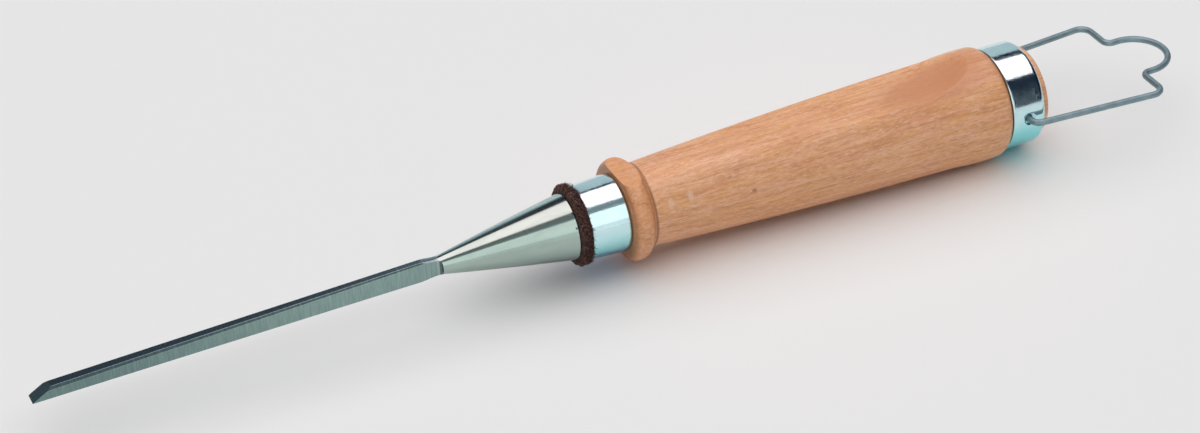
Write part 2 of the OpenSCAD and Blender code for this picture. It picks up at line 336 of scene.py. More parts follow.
@dataclass(frozen=True)
class Window:
    """Rectangle of a turned grid, centred on the hinge line, that a drilled hole takes up.

    Attributes:
        top: First row of the rectangle.
        bottom: Last row of the rectangle.
        left: First column of the rectangle.
        right: Last column of the rectangle.
    """

    top: int
    bottom: int
    left: int
    right: int

    def rim(self) -> Tuple[Array, Array]:
        """Row and column indices round the rectangle, in order.

        Returns:
            Indices of the rows and of the columns.
        """
        way = 1 if self.bottom > self.top else -1
        down, over = np.arange(self.top, self.bottom, way), np.arange(self.left, self.right)
        first, last = np.full(over.size, self.top), np.full(over.size, self.bottom)
        rows = (first, down, last, down[::-1] + way)
        cols = (over, np.full(down.size, self.right), over[::-1] + 1, np.full(down.size, self.left))
        return np.concatenate(rows), np.concatenate(cols)

    def clear(self, keep: Array) -> None:
        """Marks the rectangle's cells as cut away, on this half of the grid and on the other.

        Args:
            keep: Cells of the whole grid.
        """
        low, high = sorted((self.top, self.bottom))
        for shift in (0, keep.shape[1] // 2):
            keep[low:high, self.left + shift:self.right + shift] = False


@dataclass(frozen=True)
class Hole:
    """Round hole along the hinge line, its rings at the bearings of a window's rim.

    Attributes:
        rim: Points of the window.
        hub: Station of the hole's centre.
        radius: Radius of the hole.
    """

    rim: Array
    hub: float
    radius: float

    def circle(self) -> Tuple[Array, Array]:
        """Stations and heights of the hole's edge."""
        bearing = np.arctan2(self.rim[:, 2], self.rim[:, 0] - self.hub)
        return self.hub + self.radius * np.cos(bearing), self.radius * np.sin(bearing)

    def on_wall(self, share: float, wall: float) -> Array:
        """Ring between the rim and the hole's edge, laid on a round wall.

        Station and z go from the rim to the edge in a straight line, and y follows the wall,
        the square root of wall squared less z squared.

        Args:
            share: 0 at the rim, 1 at the hole.
            wall: Radius of the wall.

        Returns:
            The ring's points.
        """
        edge_s, edge_z = self.circle()
        station = self.rim[:, 0] * (1 - share) + edge_s * share
        z = self.rim[:, 2] * (1 - share) + edge_z * share
        return np.stack([station, np.sqrt(wall**2 - z**2), z], axis=-1)

    def at(self, y: float) -> Array:
        """The hole's edge at a given y."""
        station, z = self.circle()
        return np.stack([station, np.full_like(z, y), z], axis=-1)


# Materials


@dataclass(frozen=True)
class Noise:
    """Soft noise that swings about one half.

    Attributes:
        along: Cells in each millimetre along the tool.
        across: Cells in each millimetre across it.
        detail: Number of finer layers.
        rough: Strength of the finer layers.
        warp: How far the noise bends itself.
        offset: Shift of the pattern.
        levels: Where a smooth step from 0 to 1 starts and ends, or None for the bare noise.
    """

    along: float
    across: float
    detail: float
    rough: float
    warp: float = 0.0
    offset: Place = (0.0, 0.0, 0.0)
    levels: Optional[Span] = None


@dataclass(frozen=True)
class Coat:
    """Colour laid over others where a pattern is strong.

    Attributes:
        tone: The colour.
        share: Its strength where the pattern is full.
        levels: Where a smooth step of the pattern starts and ends, or None for the bare pattern.
    """

    tone: Colour
    share: float = 1.0
    levels: Optional[Span] = None


@dataclass(frozen=True)
class Relief:
    """Bump made of patterns.

    Attributes:
        weights: A constant, then the weight of each pattern.
        strength: Strength of the bump.
        depth_mm: Depth of a full step.
    """

    weights: Weights
    strength: float
    depth_mm: float


def operator(operation: str, swapped: bool = False) -> Callable[["Value", "Number"], "Value"]:
    """Makes an operator that adds a Math node.

    Args:
        operation: Blender's name of the operation.
        swapped: Whether the other term stands on the left.

    Returns:
        The method for the operator.
    """

    def apply(own: "Value", other: "Number") -> "Value":
        """Adds the node with its two terms in order."""
        return own.graph.math(operation, *((other, own) if swapped else (own, other)))

    return apply


class Value:
    """One number that varies over a surface; its operators add Math nodes."""

    __add__, __radd__ = operator("ADD"), operator("ADD", True)
    __sub__, __rsub__ = operator("SUBTRACT"), operator("SUBTRACT", True)
    __mul__, __truediv__, __pow__ = operator("MULTIPLY"), operator("DIVIDE"), operator("POWER")

    def __init__(self, graph: "Graph", socket: bpy.types.NodeSocket) -> None:
        """Wraps an output socket of a graph's node."""
        self.graph = graph
        self.socket = socket

    def sine(self) -> "Value":
        """Sine of the value, in radians."""
        return self.graph.math("SINE", self)

    def size(self) -> "Value":
        """The value without its sign."""
        return self.graph.math("ABSOLUTE", self)

    def step(self, low: float, high: float) -> "Value":
        """Smooth step: 0 below low, 1 above high.

        Args:
            low: Where the step starts.
            high: Where it ends.

        Returns:
            The stepped value.
        """
        sockets = {"Value": self, "From Min": low, "From Max": high, "To Min": 0.0, "To Max": 1.0}
        kind = {"interpolation_type": "SMOOTHSTEP"}
        made = self.graph.node("ShaderNodeMapRange", kind, sockets)
        return Value(self.graph, made.outputs["Result"])


Number = Union[Value, float]
Feed = Union[Value, bpy.types.NodeSocket, float, Sequence[float]]
Triple = Tuple[Value, Value, Value]


class Graph:
    """Node tree of one material, in tool millimetres."""

    def __init__(self, name: str) -> None:
        """Makes an empty material with its shader, its output and its coordinates.

        Args:
            name: Name of the material.
        """
        self.material = bpy.data.materials.new(name)
        self.material.use_nodes = True
        self.tree = self.material.node_tree
        self.tree.nodes.clear()
        self.shader = self.node("ShaderNodeBsdfPrincipled")
        self.node("ShaderNodeOutputMaterial", {}, {"Surface": self.shader.outputs["BSDF"]})
        self.coords = self.node("ShaderNodeTexCoord").outputs
        self.tool_mm = self.mapped(self.coords["Object"], (1 / MM,) * 3, tuple(-TOOL_TO_ROW))

    def feed(self, socket: bpy.types.NodeSocket, value: Feed) -> None:
        """Links a value to an input socket, or sets a constant on it.

        Args:
            socket: The input.
            value: What it gets.
        """
        if isinstance(value, Value):
            self.tree.links.new(value.socket, socket)
        elif isinstance(value, bpy.types.NodeSocket):
            self.tree.links.new(value, socket)
        elif isinstance(value, (int, float)):
            socket.default_value = value
        else:
            wanted = len(socket.default_value)
            socket.default_value = (tuple(value) + (1.0,))[:wanted]

    def node(
        self,
        kind: str,
        settings: Optional[Dict[str, object]] = None,
        sockets: Optional[Dict[Union[str, int], Feed]] = None,
    ) -> bpy.types.Node:
        """Adds a node.

        Args:
            kind: Blender's type name of the node.
            settings: Attributes of the node, set before anything is linked.
            sockets: Links or constants by socket name or number.

        Returns:
            The new node.
        """
        made = self.tree.nodes.new(kind)
        for key, value in (settings or {}).items():
            setattr(made, key, value)
        for key, value in (sockets or {}).items():
            self.feed(made.inputs[key], value)
        return made

    def math(self, operation: str, *terms: Number) -> Value:
        """Adds a Math node with the given terms."""
        made = self.node("ShaderNodeMath", {"operation": operation}, dict(enumerate(terms)))
        return Value(self, made.outputs[0])

    def mapped(self, vector: Feed, scale: Place, location: Place) -> bpy.types.NodeSocket:
        """A vector scaled and then moved by a Mapping node."""
        sockets = {"Vector": vector, "Location": location, "Scale": scale}
        return self.node("ShaderNodeMapping", {}, sockets).outputs["Vector"]

    def split(self, vector: bpy.types.NodeSocket) -> Triple:
        """The three numbers of a vector."""
        made = self.node("ShaderNodeSeparateXYZ", {}, {"Vector": vector})
        return tuple(Value(self, socket) for socket in made.outputs)

    def place(self) -> Triple:
        """Station, y and z."""
        return self.split(self.tool_mm)

    def facing(self) -> Triple:
        """How far a surface faces along the tool, sideways and up."""
        return self.split(self.coords["Normal"])

    def noise(self, pattern: Noise) -> Value:
        """Adds a noise stretched along the axes.

        Args:
            pattern: Its cells, layers and levels.

        Returns:
            The noise, or its smooth step.
        """
        cells = (pattern.along, pattern.across, pattern.across)
        sockets = {
            "Vector": self.mapped(self.tool_mm, cells, pattern.offset),
            "Scale": 1.0,
            "Detail": pattern.detail,
            "Roughness": pattern.rough,
            "Distortion": pattern.warp,
        }
        made = Value(self, self.node("ShaderNodeTexNoise", {}, sockets).outputs["Fac"])
        return made.step(*pattern.levels) if pattern.levels else made

    def noises(self, *patterns: Noise) -> List[Value]:
        """Several noises."""
        return [self.noise(pattern) for pattern in patterns]

    def mix(self, share: Number, one: Feed, two: Feed) -> bpy.types.NodeSocket:
        """Colour between two colours: a share of 0 gives the first, 1 the second."""
        settings = {"data_type": "RGBA", "blend_type": "MIX", "clamp_factor": True}
        return self.node("ShaderNodeMix", settings, {0: share, 6: one, 7: two}).outputs[2]

    def coats(self, colour: Feed, coats: Sequence[Tuple[Coat, Value]]) -> bpy.types.NodeSocket:
        """Lays coats over a colour in order, each by its share of its pattern.

        Args:
            colour: Colour below the first coat.
            coats: Each coat with the pattern that it follows.

        Returns:
            The colour socket.
        """
        for coat, pattern in coats:
            level = pattern.step(*coat.levels) if coat.levels else pattern
            colour = self.mix(level * coat.share, colour, coat.tone)
        return colour

    def blend(self, weights: Weights, *patterns: Value) -> Value:
        """Weighted sum of patterns, begun with the first weight as it is."""
        return sum((value * weight for value, weight in zip(patterns, weights[1:])), weights[0])

    def spot(self, place: Triple, centre: Place, reach: Place) -> Value:
        """Soft spot: 1 at a centre, 0 beyond an ellipsoid of the given half lengths about it."""
        parts = [((axis - mid) / half) ** 2.0 for axis, mid, half in zip(place, centre, reach)]
        return 1.0 - sum(parts, 0.0).step(0.0, 1.0)

    def bump(self, relief: Relief, *patterns: Value) -> None:
        """Feeds a weighted sum of patterns to the shader's normal.

        Args:
            relief: Weights, strength and depth.
            patterns: What is added up.
        """
        sockets = {
            "Strength": relief.strength,
            "Distance": relief.depth_mm * MM,
            "Height": self.blend(relief.weights, *patterns),
        }
        self.set(Normal=self.node("ShaderNodeBump", {}, sockets).outputs["Normal"])

    def set(self, **sockets: Feed) -> None:
        """Sets or links shader sockets, named with _ for spaces."""
        for key, value in sockets.items():
            self.feed(self.shader.inputs[key.replace("_", " ")], value)


class Finish(ABC):
    """A surface finish that makes its own material."""

    NAME = "finish"

    def material(self) -> bpy.types.Material:
        """The finish as a new material.

        Returns:
            The material.
        """
        graph = Graph(self.NAME)
        self.paint(graph)
        return graph.material

    @abstractmethod
    def paint(self, g: Graph) -> None:
        """Adds the finish's nodes to a graph."""


@dataclass(frozen=True)
class BeechFinish(Finish):
    """Turned beech under satin lacquer, its grain along the tool."""

    NAME = "lacquered_beech"
    broad: Noise = Noise(0.018, 0.15, 3.0, 0.55, 0.6)
    drift: Noise = Noise(0.02, 0.09, 2.0, 0.5, 0.0, (3.0, 7.0, 1.0))
    lines: Noise = Noise(0.05, 2.0, 4.0, 0.62, 0.2)
    streaks: Noise = Noise(0.06, 0.6, 3.0, 0.62, 0.4, (2.0, 8.0, 3.0))
    dashes: Noise = Noise(0.55, 4.2, 2.0, 0.55, levels=(0.5, 0.68))
    patches: Noise = Noise(0.06, 0.34, 3.0, 0.6, 0.8, (1.0, 5.0, 8.0), (0.42, 0.6))
    rays: Noise = Noise(0.5, 2.2, 2.0, 0.55, 0.0, (9.0, 2.0, 4.0), (0.5, 0.68))
    mottle: Noise = Noise(0.5, 0.9, 3.0, 0.6, 0.5, (4.0, 1.0, 6.0), (0.5, 0.72))
    pale: Colour = (0.89, 0.465, 0.245)
    deep: Colour = (0.58, 0.225, 0.095)
    ray: Colour = (0.93, 0.56, 0.35)
    warm: Coat = Coat((0.8, 0.375, 0.18), 1.0, (0.72, 1.3))
    rosy: Coat = Coat((0.79, 0.36, 0.205), 0.6, (0.44, 0.62))
    ochre: Coat = Coat((0.84, 0.41, 0.15), 0.75)
    pale_streak: Coat = Coat(ray, 0.55, (0.5, 0.68))
    dark_streak: Coat = Coat(deep, 0.5, (0.5, 0.68))
    dark_line: Coat = Coat(deep, 0.7, (0.45, 0.72))
    pale_ray: Coat = Coat(ray, 0.6)
    fleck: Coat = Coat((0.5, 0.195, 0.07), 0.46)
    # Painted shade: a darker, rosier patch on the top of the handle by the hoop.
    knob_top_shade: Coat = Coat((0.6, 0.24, 0.1), 0.9)
    bead_tone: Coat = Coat((0.8, 0.36, 0.15))
    end_grain: Coat = Coat((0.44, 0.155, 0.045))
    # Crease tone: partly grime and lacquer gathered there, partly painted shade.
    grime_and_shade: Coat = Coat((0.22, 0.08, 0.03), 0.75)
    worn: Coat = Coat((0.86, 0.56, 0.39))
    speck: Coat = Coat((0.34, 0.15, 0.05), 0.85)
    figure: Weights = (0.0, 1.3, 0.14, 0.6)
    bead_cloud: Weights = (0.35, 0.3)
    bead_pores: Weights = (0.0, 0.4, 0.3)
    end_pores: Weights = (0.6, 0.35)
    worn_lines: Weights = (0.4, 0.6)
    rough: Weights = (0.38, 0.1, 0.06, 0.06)
    relief: Relief = Relief((0.0, 0.5, -0.5, 0.06), 0.3, 0.05)
    lacquer: float = 0.3
    lacquer_rough: float = 0.26
    pith: Span = (26.0, -34.0)
    ring_mm: float = 3.1
    ring_drift: float = 9.0
    crease_s: float = 166.35
    crease_width: Span = (0.05, 0.6)
    bead_fade: float = 0.5
    end_facing: Span = (0.35, 0.9)
    # Centre and half lengths of the painted shade on the top by the hoop.
    knob_shade_at: Place = (253.0, -3.0, 14.0)
    knob_shade_reach: Place = (24.0, 11.0, 7.0)
    speck_at: Place = (194.1, -12.49, 2.92)
    speck_reach: Place = (0.95, 0.9, 0.65)
    scuffs: Tuple[Place, ...] = ((170.8, -10.7, 5.2), (176.5, -10.6, 5.8))
    scuff_reach: Place = (1.1, 2.1, 2.1)

    def paint(self, g: Graph) -> None:
        """Broad figure, growth rings, fine lines, flecks, end grain, a speck, pale scuffs, grime
        with painted shade in the crease, and painted shade on the top by the hoop.

        Growth rings are a sine of the distance from the pith, bent by a slow drift.

        Args:
            g: Graph that gets the nodes.
        """
        place = station, y, z = g.place()
        broad, drift, lines, streaks = g.noises(self.broad, self.drift, self.lines, self.streaks)
        dashes, patches, rays, mottle = g.noises(self.dashes, self.patches, self.rays, self.mottle)
        radius = ((y - self.pith[0]) ** 2.0 + (z - self.pith[1]) ** 2.0) ** 0.5
        wave = ((radius + drift * self.ring_drift) * (FULL_TURN / self.ring_mm)).sine()
        rings = wave * 0.5 + 0.5
        bead = 1.0 - station.step(self.crease_s - self.bead_fade, self.crease_s + self.bead_fade)
        # Mask of the crease behind the bead, for its grime and painted shade.
        crease = 1.0 - (station - self.crease_s).size().step(*self.crease_width)
        ends = g.facing()[0].size().step(*self.end_facing)
        worn = g.blend(self.worn_lines, lines)
        colour = g.coats(self.pale, [
            (self.warm, g.blend(self.figure, broad, rings, lines)),
            (self.rosy, drift),
            (self.ochre, patches),
            (self.pale_streak, streaks),
            (self.dark_streak, 1.0 - streaks),
            (self.dark_line, lines),
            (self.pale_ray, rays),
            (self.fleck, dashes),
            # Painted shade on the top of the handle by the hoop.
            (self.knob_top_shade, g.spot(place, self.knob_shade_at, self.knob_shade_reach)),
            (self.bead_tone, bead * g.blend(self.bead_cloud, patches)),
            (self.end_grain, bead * g.blend(self.bead_pores, mottle, dashes)),
            (self.end_grain, ends * g.blend(self.end_pores, dashes)),
            # Darker in the crease behind the bead: partly grime and lacquer, partly painted shade.
            (self.grime_and_shade, crease),
            *((self.worn, g.spot(place, scuff, self.scuff_reach) * worn) for scuff in self.scuffs),
            (self.speck, g.spot(place, self.speck_at, self.speck_reach)),
        ])
        g.set(Base_Color=colour, Roughness=g.blend(self.rough, lines, dashes, broad))
        g.set(Coat_Weight=self.lacquer, Coat_Roughness=self.lacquer_rough)
        g.bump(self.relief, lines, dashes, rings)


@dataclass(frozen=True)
class PlateFinish(Finish):
    """Bright zinc plate with fine marks round the ring and faint clouds."""

    NAME = "zinc_plate"
    marks: Noise = Noise(9.0, 0.25, 3.0, 0.6)
    clouds: Noise = Noise(0.25, 0.25, 4.0, 0.6, 0.4)
    specks: Noise = Noise(3.4, 3.4, 3.0, 0.65, levels=(0.5, 0.7))
    bright: Colour = (0.67, 0.87, 0.9)
    dull: Coat = Coat((0.58, 0.81, 0.85), 0.8, (0.35, 0.75))
    # Painted reflection tint: teal, growing towards the bottom.
    painted_low_tint: Coat = Coat((0.25, 0.84, 0.87), 0.88, (-2.0, 11.0))
    low_tint_cloud: float = 6.0
    # Painted reflection tint: blue, low on the ferrule.
    painted_low_blue: Coat = Coat((0.16, 0.34, 0.62), 0.85)
    blue_depth: Span = (4.4, 8.8)
    blue_cloud: float = 2.0
    ferrule_end: Span = (165.0, 166.0)
    rough: Weights = (0.04, 0.05, 0.03, 0.03)
    relief: Relief = Relief((0.0, 0.3, 0.6, 0.6), 0.3, 0.03)

    def paint(self, g: Graph) -> None:
        """Marks that depend on the station, clouds, specks, and a painted teal then blue reflection
        tint lower down.

        Args:
            g: Graph that gets the nodes.
        """
        station, _, z = g.place()
        marks, clouds, specks = g.noises(self.marks, self.clouds, self.specks)
        # Painted reflection tint lower down: teal everywhere, then blue on the ferrule.
        blue = (clouds * self.blue_cloud - z).step(*self.blue_depth)
        colour = g.coats(self.bright, [
            (self.dull, clouds),
            (self.painted_low_tint, clouds * self.low_tint_cloud - z),
            (self.painted_low_blue, blue * (1.0 - station.step(*self.ferrule_end))),
        ])
        rough = g.blend(self.rough, clouds, marks, specks)
        g.set(Base_Color=colour, Roughness=rough, Metallic=1.0)
        g.bump(self.relief, marks, specks, clouds)


@dataclass(frozen=True)
class SteelFinish(Finish):
    """Tool steel: blade faces ground across, bolster turned and polished."""

    NAME = "ground_steel"
    coarse: Noise = Noise(2.6, 0.12, 4.0, 0.65)
    fine: Noise = Noise(11.0, 0.3, 3.0, 0.6)
    clouds: Noise = Noise(0.07, 0.3, 3.0, 0.5, 0.5)
    neck: float = 108.3
    blade: Colour = (0.225, 0.345, 0.335)
    bolster: Colour = (0.405, 0.51, 0.465)
    # Painted dark: shade and dark reflections laid on the chamfers, the bolster's underside and
    # faces at the neck that look towards the edge.
    painted_dark: Colour = (0.06, 0.085, 0.095)
    # Painted light: the ground faces grow lighter towards the neck.
    painted_neck_light: Coat = Coat((0.33, 0.475, 0.45), 1.0, (10.0, neck - 20.0))
    scratch: Coat = Coat((0.0, 0.0, 0.0), 0.38)
    # Chamfers painted dark by the way they face.
    chamfer: Coat = Coat(painted_dark)
    # Painted reflection: faces that look up take a dark blue tint.
    painted_top_reflection: Coat = Coat((0.12, 0.19, 0.27), 0.45, (0.8, 0.95))
    honed: Coat = Coat((0.34, 0.44, 0.44))
    dull: Coat = Coat((0.3321, 0.4182, 0.3813), 0.5, (0.3, 0.75))
    # Painted shade on the bolster's underside.
    under: Coat = Coat(painted_dark, 0.85, (0.5, 0.8))
    # Painted shade on faces at the neck that look towards the edge.
    foot: Coat = Coat(painted_dark, 0.8)
    crumb: Coat = Coat((0.02, 0.018, 0.016), 0.8)
    crumbs: Tuple[Place, ...] = ((145.1, -5.2, 7.3), (144.9, -7.9, 4.2))
    crumb_reach: Place = (0.4, 0.5, 0.5)
    polish_from: Span = (neck - 0.2, neck + 0.8)
    polish_fade: Weights = (1.0, -0.8)
    shade_mix: Weights = (0.0, 0.55, 0.45)
    shade_levels: Span = (0.3, 0.75)
    chamfer_facing: Span = (0.8, 0.95)
    chamfer_shade: Weights = (0.75, -0.4)
    hone_facing: Span = (0.35, 0.45)
    hone_end: Span = (7.0, 8.0)
    foot_facing: Span = (0.3, 0.6)
    foot_start: Span = (neck - 1.0, neck - 0.5)
    foot_end: Span = (neck + 1.5, neck + 2.0)
    ground_rough: Weights = (0.16, 0.1, 0.05)
    smooth_rough: Weights = (0.11, 0.06, 0.04)
    relief: Relief = Relief((0.0, 0.6, 0.5), 0.3, 0.03)

    def paint(self, g: Graph) -> None:
        """Cross marks from the wheel on the blade, finer ones round the bolster.

        A chamfer is found where twice the product of facing sideways and facing up nears one.
        Chamfers, the bolster's underside and faces at the neck that look towards the edge are
        painted dark, faces that look up get a painted blue reflection, and the blade is painted
        lighter towards the neck.

        Args:
            g: Graph that gets the nodes.
        """
        place = g.place()
        station = place[0]
        along, across, up = g.facing()
        ahead, down = along * -1.0, up * -1.0
        coarse, fine, clouds = g.noises(self.coarse, self.fine, self.clouds)
        polished = station.step(*self.polish_from)
        shade = g.blend(self.shade_mix, coarse, fine).step(*self.shade_levels)
        chamfer = (across.size() * up * 2.0).step(*self.chamfer_facing)
        honed = ahead.step(*self.hone_facing) * (1.0 - station.step(*self.hone_end))
        foot = ahead.step(*self.foot_facing) * station.step(*self.foot_start)
        ground = g.coats(self.blade, [
            # Painted light, growing towards the neck.
            (self.painted_neck_light, station),
            (self.scratch, 1.0 - shade),
            # Chamfers painted dark.
            (self.chamfer, chamfer * g.blend(self.chamfer_shade, shade)),
            # Painted reflection on faces that look up.
            (self.painted_top_reflection, up),
            (self.honed, honed),
        ])
        # Bolster: random dull clouds, and painted shade on its underside.
        smooth = g.coats(self.bolster, [(self.dull, clouds), (self.under, down)])
        colour = g.coats(g.mix(polished, ground, smooth), [
            # Painted shade at the neck, on faces that look towards the edge.
            (self.foot, foot * (1.0 - station.step(*self.foot_end))),
            *((self.crumb, g.spot(place, crumb, self.crumb_reach)) for crumb in self.crumbs),
        ])
        ground_rough = g.blend(self.ground_rough, coarse, fine)
        smooth_rough = g.blend(self.smooth_rough, clouds, fine)
        rough = ground_rough * (1.0 - polished) + smooth_rough * polished
        g.set(Base_Color=colour, Roughness=rough, Metallic=1.0)
        fade = g.blend(self.polish_fade, polished)
        g.bump(self.relief, coarse * fade, fine * fade)


@dataclass(frozen=True)
class LeatherFinish(Finish):
    """Dark brown leather with a fibrous cut edge."""

    NAME = "cut_leather"
    mat: Noise = Noise(1.6, 1.6, 5.0, 0.7, 0.8)
    fibres: Noise = Noise(2.6, 2.6, 3.0, 0.65, 2.0)
    dark: Colour = (0.012, 0.006, 0.005)
    brown: Coat = Coat((0.31, 0.165, 0.14), 1.0, (0.42, 0.64))
    tone_mix: Weights = (0.0, 0.45, 0.55)
    rough: Weights = (0.85, 0.15)
    specular: float = 0.15
    relief: Relief = Relief((0.0, 1.0, 0.9), 1.0, 0.3)

    def paint(self, g: Graph) -> None:
        """Matted fibres at two scales.

        Args:
            g: Graph that gets the nodes.
        """
        mat, fibres = g.noises(self.mat, self.fibres)
        colour = g.coats(self.dark, [(self.brown, g.blend(self.tone_mix, mat, fibres))])
        g.set(Base_Color=colour, Roughness=g.blend(self.rough, mat))
        g.set(Specular_IOR_Level=self.specular)
        g.bump(self.relief, mat, fibres)


@dataclass(frozen=True)
class WireFinish(Finish):
    """Drawn wire with a matte zinc coat."""

    NAME = "matte_wire"
    clouds: Noise = Noise(0.4, 0.4, 3.0, 0.55)
    grains: Noise = Noise(7.0, 7.0, 2.0, 0.6)
    light: Colour = (0.28, 0.4, 0.43)
    dark: Coat = Coat((0.19, 0.28, 0.315), 1.0, (0.3, 0.7))
    tone_mix: Weights = (0.0, 0.7, 0.3)
    rough: Weights = (0.42, 0.14)
    metal: float = 0.75
    relief: Relief = Relief((0.0, 1.0), 0.15, 0.03)

    def paint(self, g: Graph) -> None:
        """Faint clouds and a fine granular coat.

        Args:
            g: Graph that gets the nodes.
        """
        clouds, grains = g.noises(self.clouds, self.grains)
        colour = g.coats(self.light, [(self.dark, g.blend(self.tone_mix, clouds, grains))])
        g.set(Base_Color=colour, Roughness=g.blend(self.rough, grains), Metallic=self.metal)
        g.bump(self.relief, grains)


@dataclass(frozen=True)
class FloorFinish(Finish):
    """Plain pale floor."""

    NAME = "pale_floor"
    clouds: Noise = Noise(0.01, 0.01, 2.0, 0.5)
    pale: Colour = (0.93, 0.93, 0.93)
    shade: Coat = Coat((0.8928, 0.8928, 0.8928), 0.1)
    rough: float = 0.85
    specular: float = 0.1

    def paint(self, g: Graph) -> None:
        """Almost even tone, matte."""
        colour = g.coats(self.pale, [(self.shade, g.noise(self.clouds))])
        g.set(Base_Color=colour, Roughness=self.rough, Specular_IOR_Level=self.specular)


# Pieces


class Piece(ABC):
    """A sub-assembly: builds its mesh, takes its finish and rides on its body."""

    NAME = "piece"
    NODE = "node"
    BODY = Body.TOOL
    SLOT: Slot
    FINISH: Finish
    CREASE_DEG: float

    @abstractmethod
    def patches(self) -> List[Patch]:
        """Grids of the piece in tool millimetres."""

    def build(self) -> bpy.types.Object:
        """Makes the mesh object."""
        return skin(self.NAME, self.patches(), self.CREASE_DEG)

    def dress(self, made: bpy.types.Object) -> None:
        """Gives the object its material and its place among the solids.

        Args:
            made: The mesh object.
        """
        made.data.materials.append(self.FINISH.material())
        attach(made, self.BODY.value)
        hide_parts(self.NODE)

    def place(self) -> None:
        """Builds, dresses and reports the piece."""
        made = self.build()
        self.dress(made)
        mesh = made.data
        LOG.info("%s: %d points, %d faces", made.name, len(mesh.vertices), len(mesh.polygons))


